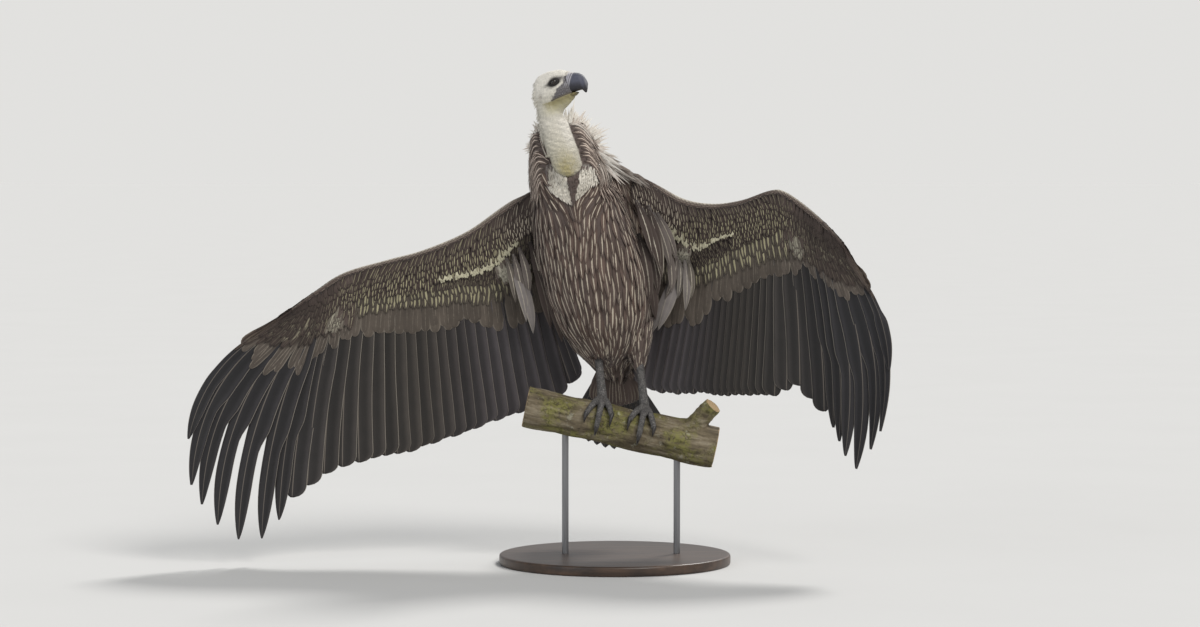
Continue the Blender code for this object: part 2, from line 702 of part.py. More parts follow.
def make_stand(perch):
    """A round base and two upright rods under the perch."""
    bm = bmesh.new()
    bmesh.ops.create_cone(
        bm, cap_ends=True, segments=32, radius1=BASE_RADIUS, radius2=BASE_RADIUS, depth=BASE_HEIGHT,
    )
    bmesh.ops.translate(bm, verts=bm.verts[:], vec=(0, 0, BASE_HEIGHT / 2))
    base = finish_mesh("stand_base", bm, "stand_board", 30)
    bevel = base.modifiers.new("bevel", "BEVEL")
    bevel.width = BASE_BEVEL
    bevel.segments = 1
    bevel.limit_method = "ANGLE"
    bevel.angle_limit = math.radians(60)
    for x, name in zip(ROD_X, ("stand_rod_right", "stand_rod_left")):
        points = [Vector((x, 0, BASE_HEIGHT + GAP)), Vector((x, 0, PERCH_CENTRE.z))]
        rod = tube(name, points, [ROD_RADIUS, ROD_RADIUS], "stand_metal", 16)
        clear_of(rod, perch)


def build():
    """Every piece, and the clearance each keeps from its neighbours."""
    trunk, neck, ruff, head = make_trunk(), make_neck(), make_ruff(), make_head()
    tail = make_tail()
    legs = make_leg("left") + make_leg("right")
    clear_of(neck, head)
    clear_of(trunk, neck, *legs)
    clear_of(ruff, trunk, neck, head)
    clear_of(tail, trunk, *legs)
    for side in ("left", "right"):
        upper, fore, hand, inner = make_wing(side)
        clear_of(upper, trunk)
        clear_of(inner, trunk, *legs)
        clear_of(ruff, upper)
    make_stand(make_perch())


build()
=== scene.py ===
import math
from itertools import product

import bmesh
import bpy
import numpy as np
from mathutils import Matrix, Vector
from mathutils.bvhtree import BVHTree


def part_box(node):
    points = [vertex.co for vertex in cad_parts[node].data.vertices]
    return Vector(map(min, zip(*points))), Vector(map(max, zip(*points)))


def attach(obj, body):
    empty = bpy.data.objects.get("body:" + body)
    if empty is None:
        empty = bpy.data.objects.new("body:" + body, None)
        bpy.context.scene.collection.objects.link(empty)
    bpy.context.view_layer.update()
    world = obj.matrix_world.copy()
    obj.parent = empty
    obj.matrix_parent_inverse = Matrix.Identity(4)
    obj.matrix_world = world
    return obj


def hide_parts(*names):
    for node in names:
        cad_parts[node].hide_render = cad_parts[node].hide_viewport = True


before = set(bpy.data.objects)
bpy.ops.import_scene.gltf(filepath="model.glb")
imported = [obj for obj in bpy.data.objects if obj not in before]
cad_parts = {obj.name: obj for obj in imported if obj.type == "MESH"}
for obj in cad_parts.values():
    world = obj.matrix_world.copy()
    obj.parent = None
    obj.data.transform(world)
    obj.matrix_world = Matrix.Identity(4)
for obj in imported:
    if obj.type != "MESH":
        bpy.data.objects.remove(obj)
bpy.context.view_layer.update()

# ---- sizes in metres (tables in millimetres, divided by MM) ----
# +Z is up, the bird faces -Y and its left wing is at +X

MM = 1000
PERCH_CENTRE = Vector((0.014, 0.0, 0.331))
PERCH_RADIUS = 0.048
PERCH_LENGTH = 0.470
PERCH_SLOPE = math.radians(12)
FOOT_PLACE = {"right": -0.058, "left": 0.046}
TOE_RADIUS = 0.0080
TOE_CLEAR = 0.0018
TOES = {  # length, spread along the perch, which way it wraps
    "inner": (0.062, -0.030, 1), "middle": (0.098, 0.0, 1),
    "outer": (0.072, 0.032, 1), "hind": (0.046, -0.006, -1),
}
CLAW_LENGTH = {"inner": 0.028, "middle": 0.027, "outer": 0.021, "hind": 0.030}
HEEL = {"right": (-0.042, 0.035, 0.524), "left": (0.058, 0.033, 0.504)}
TARSUS_RADIUS = 0.0105

NECK_LINE = np.array([
    (-106, -70, 900), (-116, -108, 940), (-126, -122, 985), (-142, -112, 1035), (-153, -100, 1080),
    (-158, -98, 1125),
]) / MM
TRUNK_LINE = np.array([
    (-118, -52, 962), (-114, -52, 935), (-104, -40, 890), (-86, -24, 830), (-62, -6, 750),
    (-38, 16, 665), (-18, 48, 575), (-4, 90, 505), (2, 122, 448),
]) / MM
HEAD_CENTRE = Vector((-0.134, -0.108, 1.160))
HEAD_TURN = math.radians(62)
HEAD_PITCH = math.radians(15)
EYE_RADIUS = 0.0088
EYE_OUT = 0.0228
# rows of the bill: ahead, top, under and half width, in tenths of a millimetre
UPPER_BILL = np.array([
    (300, 198, -330, 172), (343, 178, -330, 170), (390, 152, -330, 162), (440, 125, -331, 152),
    (490, 104, -332, 144), (530, 90, -333, 136), (590, 66, -352, 118), (648, 22, -430, 88),
    (690, -42, -375, 68), (722, -118, -300, 46), (742, -180, -262, 22),
]) / (10 * MM)
LOWER_BILL = np.array([
    (300, -338, -430, 126), (343, -336, -425, 122), (380, -338, -412, 104), (415, -342, -398, 80),
    (445, -356, -386, 48),
]) / (10 * MM)
TAIL_ROOT = Vector((0.000, 0.088, 0.478))
TAIL_AIM = Vector((0.03, 0.62, -0.78)).normalized()
TAIL_LENGTH = 0.285
TAIL_FEATHERS = 12
TAIL_SPREAD = math.radians(44)
TAIL_CAMBER = 0.018

SECONDARIES, PRIMARIES = 20, 10
LAST = SECONDARIES + PRIMARIES
COVERED_PART = 0.13
SIGN = {"left": 1.0, "right": -1.0}
OUTERMOST_END = {"left": 0.75, "right": 0.86}


# ---- shared arithmetic ----

def curve(rows, divisor=1):
    """A smooth curve through rows of a place and its values, read at many places at once."""
    rows = np.array(rows, float)
    places, values = rows[:, 0], rows[:, 1:] / divisor
    slopes = np.gradient(values, axis=0)
    slopes[1:-1] = (values[2:] - values[:-2]) / (places[2:] - places[:-2])[:, None]
    slopes[0] = (values[1] - values[0]) / (places[1] - places[0])
    slopes[-1] = (values[-1] - values[-2]) / (places[-1] - places[-2])

    def read(at):
        at = np.clip(np.asarray(at, float), places[0], places[-1])
        i = np.clip(np.searchsorted(places, at, side="right") - 1, 0, len(places) - 2)
        width = (places[i + 1] - places[i])[..., None]
        t = (at - places[i])[..., None] / width
        start = values[i] * (2 * t**3 - 3 * t**2 + 1) + slopes[i] * width * (t**3 - 2 * t**2 + t)
        end = values[i + 1] * (3 * t**2 - 2 * t**3) + slopes[i + 1] * width * (t**3 - t**2)
        return (start + end)[..., 0] if values.shape[1] == 1 else start + end

    return read


def both_wings(left, right):
    """A curve for each wing, through rows in millimetres."""
    return {"left": curve(left, MM), "right": curve(right, MM)}


def evenly(values):
    """The values as rows spaced evenly from 0 to 1."""
    return [(n / (len(values) - 1), *np.atleast_1d(value)) for n, value in enumerate(values)]


def unit(vectors):
    return vectors / np.maximum(np.linalg.norm(vectors, axis=-1, keepdims=True), 1e-9)


def ease(value):
    """0 below 0, 1 above 1, smooth between."""
    value = np.clip(value, 0.0, 1.0)
    return value * value * (3 - 2 * value)


def hump(value, middle, reach):
    """1 at the middle, fading to 0 at this reach."""
    return ease(1 - np.abs((value - middle) / reach))


def blend(first, second, share):
    share = np.asarray(share, float)[..., None]
    return np.asarray(first, float) * (1 - share) + np.asarray(second, float) * share


def abreast(*values):
    """The values side by side, in one row each."""
    return np.stack(np.broadcast_arrays(*values), -1)


def spot(x, y, at_x, at_y, wide, high, power=1.0):
    """1 in the middle of an oval spot, fading outwards."""
    return np.exp(-(((x - at_x) / wide) ** 2 + ((y - at_y) / high) ** 2) ** power)


def ripple(points, scale, seed=0):
    """Cheap smooth noise between about -1 and 1 at many points."""
    rng = np.random.default_rng(seed)
    total = np.zeros(points.shape[:-1])
    for _ in range(6):
        total += np.sin(points @ (rng.normal(size=3) * scale) + rng.uniform(0, 6.28))
    return total / 2.6


# ---- the wings' lines: s counts flight feathers outwards, and places are in millimetres ----

STEP, DEPTH_STEP = 0.05, 0.004  # how far apart the wing is sampled for its slopes
VANE_THICKNESS = 0.003
EDGE = both_wings([
    (-8, -20, -20, 962), (-5, 59, 10, 938), (0, 154, 20, 882), (5, 230, -10, 867), (10, 300, -45, 876),
    (17, 383, -95, 903), (20, 420, -115, 888), (25, 486, -150, 834), (30, 534, -175, 782),
], [
    (-8, -176, -20, 925), (-4, -215, 0, 893), (0, -268, 10, 860), (5, -358, 15, 799),
    (10, -462, 10, 756), (15, -548, 0, 733), (20, -650, -15, 703), (25, -718, -30, 660),
    (30, -775, -45, 617),
])
ROOTS = both_wings([
    (-8, 10, 40, 800), (-4, 50, 55, 765), (0, 90, 64, 752), (4, 185, 45, 752), (12, 296, -25, 812),
    (20, 408, -92, 852), (25, 472, -130, 818), (30, 524, -162, 766),
], [
    (-8, -150, 40, 800), (-4, -180, 50, 765), (0, -200, 60, 742), (4, -285, 48, 712),
    (12, -462, 25, 688), (20, -640, 0, 664), (25, -710, -20, 626), (30, -766, -40, 596),
])
TIPS = both_wings([
    (-8, 0, 95, 560), (0, 34, 118, 470), (2, 84, 102, 412), (8, 200, 60, 405), (14, 300, 5, 404),
    (18.5, 384, -55, 408), (20.5, 443, -90, 430), (21.5, 474, -112, 400), (22.5, 498, -138, 372),
    (23.5, 517, -165, 342), (24.5, 529, -195, 312), (25.5, 541, -225, 280), (26.5, 564, -258, 252),
    (27.5, 594, -285, 292), (28.5, 616, -305, 342), (29.5, 622, -315, 374), (30, 623, -318, 384),
], [
    (-8, -60, 110, 560), (0, -98, 118, 440), (2, -160, 106, 384), (6, -276, 88, 343),
    (10, -381, 76, 306), (14, -486, 62, 268), (18.5, -622, 40, 238), (20.5, -706, 22, 212),
    (21.5, -746, 10, 188), (22.5, -782, -2, 156), (23.5, -812, -16, 100), (24.5, -852, -34, 58),
    (25.5, -906, -52, 60), (26.5, -954, -70, 96), (27.5, -990, -86, 142), (28.5, -1013, -100, 196),
    (29.5, -1028, -110, 236), (30, -1032, -112, 250),
])
BOW = both_wings([
    (-8, 0), (14, 4), (20, 6), (24, 24), (27, 56), (30, 62),
], [
    (-8, 0), (14, 4), (20, 10), (24, 32), (27, 68), (30, 80),
])
BACK = curve([(-8, 10), (20, 14), (30, 26)], MM)
THICKNESS = curve([(-8, 52), (-3, 46), (4, 36), (12, 26), (20, 24), (30, 12)], MM)
PROFILE = curve([(0.0, 0.22), (0.08, 0.66), (0.25, 1.0), (0.55, 0.80), (1.0, 0.16)])


def feather_at(side, s, t):
    """The sheet of flight feathers: s counts feathers outwards from the body, t root to tip."""
    s, t = np.broadcast_arrays(np.asarray(s, float), np.asarray(t, float))
    root, tip = ROOTS[side](s), TIPS[side](s)
    chord = tip - root
    outward = np.stack([-chord[..., 2], np.zeros_like(s), chord[..., 0]], -1)
    bow = unit(outward) * SIGN[side] * BOW[side](s)[..., None]
    bow = bow + np.array([0.0, 1.0, 0.0]) * BACK(s)[..., None]
    t = t[..., None]
    return root + chord * t + bow * (4 * t * (1 - t))


def wing_middle(side, s, depth):
    """The middle of the wing, this far behind its front edge, and its half thickness."""
    s, depth = np.broadcast_arrays(np.asarray(s, float), np.asarray(depth, float))
    edge, end = EDGE[side](s), feather_at(side, s, COVERED_PART)
    chord = np.linalg.norm(end - edge, axis=-1)
    share = depth / chord
    length = np.linalg.norm(TIPS[side](s) - ROOTS[side](s), axis=-1)
    beyond = COVERED_PART + np.maximum(depth - chord, 0) / length
    on_arm = edge + (end - edge) * share[..., None]
    middle = np.where((share < 1)[..., None], on_arm, feather_at(side, s, beyond))
    thick = THICKNESS(s) * PROFILE(np.clip(share, 0, 1)) / 2
    return middle, np.where(share < 1, thick, VANE_THICKNESS)


def wing_face(side, s, depth, face):
    """A point on the wing's under side (face 1) or upper side (face -1), its normal and its run."""
    middle, half = wing_middle(side, s, depth)
    along = wing_middle(side, s + STEP, depth)[0] - wing_middle(side, s - STEP, depth)[0]
    down = wing_middle(side, s, depth + DEPTH_STEP)[0] - wing_middle(side, s, depth - DEPTH_STEP)[0]
    normal = unit(np.cross(along, down)) * (-SIGN[side] * face)
    return middle + normal * (half[..., None] - VANE_THICKNESS), normal, along / (2 * STEP)


TAIL_BACK = unit(np.cross((1.0, 0, 0), np.array(TAIL_AIM)))


def tail_at(s, t):
    """The fanned tail: s runs -1 to 1 across it, t root to tip."""
    s, t = np.broadcast_arrays(np.asarray(s, float), np.asarray(t, float))
    across, aim = np.array([1.0, 0, 0]), np.array(TAIL_AIM)
    turn = (s * TAIL_SPREAD / 2)[..., None]
    length = (TAIL_LENGTH * (1 - 0.10 * s * s) * t)[..., None]
    start = np.array(TAIL_ROOT) + across * (0.026 * s)[..., None]
    ray = aim * np.cos(turn) + across * np.sin(turn)
    return start + ray * length + TAIL_BACK * (TAIL_CAMBER * s * s * (0.4 + t))[..., None]


LEVEL = Vector((math.sin(HEAD_TURN), -math.cos(HEAD_TURN), 0))
FORWARD = LEVEL * math.cos(HEAD_PITCH) + Vector((0, 0, math.sin(HEAD_PITCH)))
RIGHT = FORWARD.cross(Vector((0, 0, 1))).normalized()
UP = RIGHT.cross(FORWARD)
HEAD_FRAME = np.array([FORWARD, RIGHT, UP])


def head_place(points):
    """Points as ahead, right and up in the head's own frame."""
    return (points - np.array(HEAD_CENTRE)) @ HEAD_FRAME.T


def from_head(places):
    return np.asarray(places, float) @ HEAD_FRAME + np.array(HEAD_CENTRE)


PERCH_AXIS = Vector((math.cos(PERCH_SLOPE), 0, -math.sin(PERCH_SLOPE)))
PERCH_UP = Vector((math.sin(PERCH_SLOPE), 0, math.cos(PERCH_SLOPE)))


def on_perch(along, turn, height):
    """A point over the bark; turn runs from the perch's top towards its front."""
    out = PERCH_UP * math.cos(turn) + Vector((0, -1, 0)) * math.sin(turn)
    return PERCH_CENTRE + PERCH_AXIS * along + out * (PERCH_RADIUS + height)


# ---- finishes ----

def math_method(operation, swapped=False):
    """A method of Number that joins two values with one Math node."""
    def method(self, other):
        return self.finish.math(operation, *((other, self) if swapped else (self, other)))

    return method


class Number:
    """A value in a finish; sums and products of it add Math nodes."""

    __add__ = __radd__ = math_method("ADD")
    __mul__ = __rmul__ = math_method("MULTIPLY")
    __sub__, __rsub__ = math_method("SUBTRACT"), math_method("SUBTRACT", True)
    __truediv__, __pow__ = math_method("DIVIDE"), math_method("POWER")

    def __init__(self, finish, socket):
        self.finish, self.socket = finish, socket


class Finish:
    """A material of nodes round one Principled shader."""

    def __init__(self, name, constants):
        self.material = bpy.data.materials.new(name)
        self.material.use_nodes = True
        self.tree = self.material.node_tree
        self.shader = self.tree.nodes["Principled BSDF"]
        for socket, value in constants.items():
            self.shader.inputs[socket].default_value = value

    def node(self, kind, settings, inputs, output=0):
        """Adds a node; settings come first, then the values or links of its sockets."""
        made = self.tree.nodes.new("ShaderNode" + kind)
        for name, value in settings.items():
            setattr(made, name, value)
        for name, value in inputs.items():
            if isinstance(value, Number):
                self.tree.links.new(value.socket, made.inputs[name])
            else:
                made.inputs[name].default_value = value
        return Number(self, made.outputs[output])

    def math(self, operation, *values):
        return self.node("Math", {"operation": operation}, dict(enumerate(values)))

    def wave(self, value):
        return self.math("SINE", value)

    def size(self, value):
        return self.math("ABSOLUTE", value)

    def place(self):
        return self.node("TexCoord", {}, {}, "Object")

    def vane(self):
        """Place on the feather: across it and along it."""
        return self.node("UVMap", {"uv_map": "vane"}, {})

    def painted(self, name, output="Color"):
        return self.node("Attribute", {"attribute_name": name}, {}, output)

    def tinted(self, amount):
        """The painted tint made darker or lighter."""
        return self.shade(self.painted("tint"), amount)

    def parts(self, vector):
        outputs = self.node("SeparateXYZ", {}, {0: vector}).socket.node.outputs
        return [Number(self, outputs[n]) for n in range(3)]

    def stretched(self, vector, scale):
        return self.node("Mapping", {}, {"Vector": vector, "Scale": scale})

    def grain(self, vector, scale, detail=3.0, rough=0.55, output=0):
        inputs = {"Vector": vector, "Scale": scale, "Detail": detail, "Roughness": rough}
        return self.node("TexNoise", {}, inputs, output)

    def cells(self, vector, scale, feature="F1", output="Distance"):
        return self.node("TexVoronoi", {"feature": feature}, {"Vector": vector, "Scale": scale}, output)

    def between(self, value, low, high, start=0.0, end=1.0):
        """Start below low, end above high, smooth between."""
        inputs = {"Value": value, "From Min": low, "From Max": high, "To Min": start, "To Max": end}
        return self.node("MapRange", {"interpolation_type": "SMOOTHSTEP"}, inputs)

    def mix(self, factor, first, second):
        first, second = ((*value, 1) if isinstance(value, tuple) else value for value in (first, second))
        inputs = {"Factor": factor, 6: first, 7: second}
        return self.node("Mix", {"data_type": "RGBA", "blend_type": "MIX"}, inputs, 2)

    def shade(self, colour, amount):
        """A colour made darker or lighter by a number."""
        return self.node("VectorMath", {"operation": "SCALE"}, {0: colour, "Scale": amount})

    def ramp(self, value, *stops):
        """A colour ramp through stops of place and colour."""
        made = self.node("ValToRGB", {}, {0: value})
        points = made.socket.node.color_ramp.elements
        for _ in stops[2:]:
            points.new(0.5)
        for point, (place, colour) in zip(points, stops):
            point.position, point.color = place, (*colour, 1)
        return made

    def done(self, colour, roughness, height=None, strength=0.0, distance=0.0):
        """Feeds the shader: base colour, roughness and, where there is a height, a bump."""
        feeds = {"Base Color": colour, "Roughness": roughness}
        if height:
            inputs = {"Height": height, "Strength": strength, "Distance": distance}
            feeds["Normal"] = self.node("Bump", {}, inputs, "Normal")
        for socket, value in feeds.items():
            self.tree.links.new(value.socket, self.shader.inputs[socket])
        return self.material


def plumage_finish():
    """Small feathers: tint, shaft streak and pale rim come with each feather."""
    f = Finish("plumage", {"Sheen Weight": 0.10, "Sheen Roughness": 0.5, "Specular IOR Level": 0.22})
    across, along, _ = f.parts(f.vane())
    width, strength, rim = f.parts(f.painted("mark"))
    place = f.place()
    side = f.size(across * 2 - 1)
    grain = f.grain(place, 55, 3)
    wander = (f.grain(place, 160, 2) - 0.5) * 0.22
    taper = f.between(along, 0.02, 0.35) * f.between(along, 0.76, 0.97, 1.0, 0.05)
    reach = width * taper + 0.001
    streak = f.between((side + wander) / reach, 0.72, 1.25, 1.0, 0.0) * strength
    barbs = f.wave(along * 150 + side * 46 + grain * 5)
    tone = 0.74 + grain * 0.48 + barbs * 0.07
    # painted shade: each small feather is painted darker towards its root, where the feathers over it shade
    # it
    tone = tone * f.between(along, 0.0, 0.45, 0.62, 1.0)
    base = f.tinted(tone)
    edge = f.between(side, 0.62, 0.98) * rim
    edge = edge * f.between(along, 0.3, 0.8)
    base = f.mix(edge, base, f.painted("mark_tint"))
    colour = f.mix(streak, base, f.painted("mark_tint"))
    return f.done(colour, 0.62 + grain * 0.2, barbs * 0.5 + grain, 0.35, 0.0007)


def flight_finish():
    """Flight feathers: dark satin vanes with fine barbs, a shaft and a thin pale rim."""
    f = Finish("flight_feather", {"Specular IOR Level": 0.30, "Sheen Weight": 0.04})
    vane = f.vane()
    across, along, _ = f.parts(vane)
    _, _, rim = f.parts(f.painted("mark"))
    place = f.place()
    side = f.size(across * 2 - 1)
    grain = f.grain(place, 30, 4)
    barbs = f.wave(along * 900 + side * 130 + grain * 9)
    coarse = f.grain(f.stretched(vane, (5, 90, 1)), 3, 3)
    tone = 0.60 + grain * 0.45 + coarse * 0.35 + barbs * 0.06
    # painted light and shade: each vane is painted lighter along its inner edge and darker beyond, where the
    # next feather's edge shades it; the next line lifts the outer half again
    tone = tone * f.between(across, 0.03, 0.26, 1.40, 0.56)
    tone = tone * f.between(across, 0.30, 0.50, 1.0, 1.45)
    base = f.tinted(tone)
    shaft = f.between(side, 0.022, 0.060, 1.0, 0.0)
    edge = f.between(side, 0.940, 0.985) * rim
    colour = f.mix(shaft * 0.6, base, (0.21, 0.18, 0.15))
    colour = f.mix(edge, colour, f.painted("mark_tint"))
    return f.done(colour, 0.42 + grain * 0.22, barbs * 0.4 + coarse, 0.4, 0.0008)


def down_finish():
    f = Finish("down", {"Sheen Weight": 0.35, "Sheen Roughness": 0.6, "Specular IOR Level": 0.1})
    grain = f.grain(f.place(), 120, 3)
    return f.done(f.tinted(0.80 + grain * 0.38), 0.75 + grain * 0.2, grain, 0.4, 0.0012)


def skin_finish():
    """Bare and downy skin: its tint is painted on; flecks, pores and wrinkles are made here."""
    f = Finish("skin", {"Specular IOR Level": 0.25, "Sheen Weight": 0.1, "Sheen Roughness": 0.6})
    place = f.place()
    fine, coarse = f.grain(place, 420, 3), f.grain(place, 90, 4)
    wrinkle = f.grain(f.stretched(place, (60, 60, 420)), 1.0, 3)
    pores = f.cells(place, 520)
    flecked, _, _ = f.parts(f.painted("mark"))
    tone = 0.64 + coarse * 0.34 + fine * 0.20 + wrinkle * 0.20
    base = f.tinted(tone)
    pale = f.between(f.grain(place, 520, 2, 0.7), 0.56, 0.66) * flecked
    dark = f.between(f.grain(place, 300, 3, 0.7), 0.36, 0.46, 1.0, 0.0) * flecked
    base = f.mix(dark * 0.75, base, (0.022, 0.019, 0.026))
    return f.done(
        f.mix(pale * 0.55, base, (0.36, 0.35, 0.37)),
        0.55 + fine * 0.25, pores * 0.5 + fine * 0.5 + wrinkle * 1.2, 0.6, 0.0013)


def horn_finish():
    """Slate-blue horn of the bill, with growth lines; its tint is painted on."""
    f = Finish("horn", {"Specular IOR Level": 0.35, "Coat Weight": 0.04, "Coat Roughness": 0.35})
    place = f.place()
    grain, streaks = f.grain(place, 180, 4), f.grain(f.stretched(place, (500, 500, 90)), 1.0, 4)
    flecked, _, _ = f.parts(f.painted("mark"))
    base = f.tinted(0.66 + grain * 0.40 + streaks * 0.28)
    pale = f.between(f.grain(place, 520, 2, 0.7), 0.56, 0.66) * flecked
    return f.done(
        f.mix(pale * 0.5, base, (0.36, 0.35, 0.37)),
        0.40 + grain * 0.2, streaks + grain * 0.6, 0.35, 0.0006)


def claw_finish():
    f = Finish("claw_horn", {"Specular IOR Level": 0.5})
    grain = f.grain(f.place(), 300, 4)
    return f.done(
        f.ramp(grain, (0.3, (0.012, 0.011, 0.012)), (0.8, (0.055, 0.048, 0.045))),
        0.28 + grain * 0.25, grain, 0.3, 0.0006)


def leg_finish():
    """Grey scaly skin of the legs and toes."""
    f = Finish("leg_skin", {"Specular IOR Level": 0.35})
    place = f.place()
    scales, crack = f.cells(place, 260, output="Color"), f.cells(place, 260, "DISTANCE_TO_EDGE")
    tone, _, _ = f.parts(scales)
    grain = f.grain(place, 200, 3)
    groove = f.between(crack, 0.0, 0.16)
    base = f.mix(grain, (0.058, 0.056, 0.058), (0.19, 0.18, 0.17))
    return f.done(
        f.shade(base, (0.52 + groove * 0.48) * (0.60 + tone * 0.75)),
        0.5 + grain * 0.2, groove + grain * 0.3, 0.8, 0.0012)


def eye_finish():
    """Dark brown iris round a black pupil under a wet cornea; the iris is painted on."""
    f = Finish("eye", {"Specular IOR Level": 0.3, "Coat Weight": 0.5, "Coat Roughness": 0.03})
    grain = f.grain(f.place(), 900, 3)
    return f.done(f.tinted(0.7 + grain * 0.6), 0.15 + grain * 0.1)


def bark_finish():
    """Mossy grey-brown bark, with ringed pale wood at the sawn ends."""
    f = Finish("bark", {"Specular IOR Level": 0.2})
    place = f.place()
    turned = f.node("Mapping", {}, {"Vector": place, "Rotation": (0.0, -PERCH_SLOPE, 0.0)})
    broad, fine = f.grain(place, 14, 5), f.grain(place, 110, 5)
    long_grain = f.grain(f.stretched(turned, (10, 70, 70)), 1.0, 5)
    base = f.ramp(
        long_grain, (0.30, (0.055, 0.043, 0.028)), (0.52, (0.16, 0.13, 0.085)), (0.75, (0.30, 0.26, 0.19)))
    moss = f.between(broad, 0.42, 0.60) * f.between(fine, 0.25, 0.6)
    base = f.mix(moss * 0.78, base, (0.175, 0.170, 0.050))
    lichen = f.between(f.grain(place, 34, 4, 0.7), 0.60, 0.68)
    base = f.mix(lichen * 0.55, base, (0.36, 0.35, 0.27))
    bent = f.mix(0.06, turned, f.grain(place, 30, 3, output="Color"))
    cracks = f.between(f.cells(f.stretched(bent, (14, 75, 75)), 1.0, "DISTANCE_TO_EDGE"), 0.0, 0.07)
    base = f.shade(base, (0.6 + fine * 0.75) * (1.0 - (1.0 - cracks) * f.between(broad, 0.35, 0.6) * 0.5))
    cut = f.painted("sawn", "Fac")
    x, y, z = f.parts(f.node("Mapping", {}, {"Vector": place, "Location": tuple(-PERCH_CENTRE)}))
    tilted = x * math.sin(PERCH_SLOPE) + z * math.cos(PERCH_SLOPE)
    radius = (tilted * tilted + y * y) ** 0.5
    rings = f.wave((radius + broad * 0.006) * 2600)
    wood = f.mix(0.5 + rings * 0.5, (0.42, 0.29, 0.16), (0.56, 0.42, 0.25))
    wood = f.shade(wood, 0.75 + fine * 0.4)
    return f.done(
        f.mix(cut, base, wood),
        0.78 + fine * 0.15, long_grain * 0.7 + fine * 0.5 + cracks * 0.5, 0.7, 0.002)


def board_finish():
    """Stained dark wood of the base."""
    f = Finish("stand_board", {"Specular IOR Level": 0.4, "Coat Weight": 0.25, "Coat Roughness": 0.3})
    place = f.place()
    grain = f.grain(f.stretched(place, (3, 46, 46)), 1.0, 5, 0.6)
    fine = f.grain(f.stretched(place, (30, 600, 600)), 1.0, 3)
    base = f.ramp(
        grain, (0.3, (0.020, 0.012, 0.008)), (0.55, (0.055, 0.032, 0.020)), (0.8, (0.105, 0.062, 0.038)))
    return f.done(base, 0.35 + fine * 0.2, fine + grain * 0.5, 0.25, 0.0006)


def metal_finish():
    """Brushed dark steel of the rods."""
    f = Finish("stand_metal", {"Metallic": 1.0})
    brush = f.grain(f.stretched(f.place(), (900, 900, 12)), 1.0, 3)
    return f.done(
        f.mix(brush, (0.16, 0.16, 0.165), (0.32, 0.32, 0.33)),
        0.28 + brush * 0.22, brush, 0.15, 0.0003)


PLUMAGE, FLIGHT, DOWN = plumage_finish(), flight_finish(), down_finish()
SKIN, HORN, CLAW_HORN, LEG_SKIN = skin_finish(), horn_finish(), claw_finish(), leg_finish()
EYE, BARK, BOARD, METAL = eye_finish(), bark_finish(), board_finish(), metal_finish()
FEATHERS = {"plumage": PLUMAGE, "flight_feather": FLIGHT, "down": DOWN}


# ---- making meshes ----

def deselect():
    if bpy.context.mode != "OBJECT":
        bpy.ops.object.mode_set(mode="OBJECT")
    bpy.ops.object.select_all(action="DESELECT")


def pick(piece):
    """Makes this the only chosen object."""
    deselect()
    piece.select_set(True)
    bpy.context.view_layer.objects.active = piece


def show(piece, slot, material, *nodes):
    """Gives a finished piece its material and hides the nodes that it stands for; slot is not used."""
    piece.data.materials.clear()
    piece.data.materials.append(material)
    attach(piece, "root")
    if nodes:
        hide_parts(*nodes)
    return piece


def write(mesh, name, values, kind="FLOAT_COLOR"):
    """Writes one value per vertex into a named attribute."""
    layer = mesh.attributes.new(name, kind, "POINT")
    if kind == "FLOAT":
        layer.data.foreach_set("value", np.ascontiguousarray(values, np.float32))
        return
    values = np.concatenate([values, np.ones((len(values), 1))], 1)
    layer.data.foreach_set("color", np.ascontiguousarray(values, np.float32).ravel())


def feather_piece(name, slot, nodes, points, corners, counts, vane, bake, paint):
    """A piece of many like feathers, from flat arrays: corners, counts of corners, and UV places.

    paint is the tint, mark and mark tint of each feather.
    """
    mesh = bpy.data.meshes.new(name)
    mesh.vertices.add(len(points))
    mesh.vertices.foreach_set("co", points.astype(np.float32).ravel())
    mesh.loops.add(len(corners))
    mesh.loops.foreach_set("vertex_index", corners.astype(np.int32))
    mesh.polygons.add(len(counts))
    mesh.polygons.foreach_set("loop_start", (np.cumsum(counts) - counts).astype(np.int32))
    mesh.polygons.foreach_set("loop_total", counts.astype(np.int32))
    mesh.update(calc_edges=True)
    smooth(mesh)
    for layer, places in (("vane", vane), ("OFBake", bake)):
        mesh.uv_layers.new(name=layer).uv.foreach_set("vector", places.astype(np.float32).ravel())
    for layer, values in zip(("tint", "mark", "mark_tint"), paint):
        write(mesh, layer, np.repeat(values, len(points) // len(values), axis=0))
    return show(new_piece(name, mesh), slot, FEATHERS[slot], *nodes)


def new_piece(name, mesh):
    piece = bpy.data.objects.new(name, mesh)
    bpy.context.scene.collection.objects.link(piece)
    return piece


def vertex_places(mesh, field="co"):
    """The places of all vertices, or another of their fields, in rows of three."""
    found = np.empty(len(mesh.vertices) * 3, np.float32)
    mesh.vertices.foreach_get(field, found)
    return found.reshape(-1, 3).astype(float)


def smooth(mesh):
    mesh.polygons.foreach_set("use_smooth", np.ones(len(mesh.polygons), bool))


def reshape(mesh, places):
    """Moves all vertices of a smooth mesh."""
    mesh.vertices.foreach_set("co", places.astype(np.float32).ravel())
    smooth(mesh)
    mesh.update()


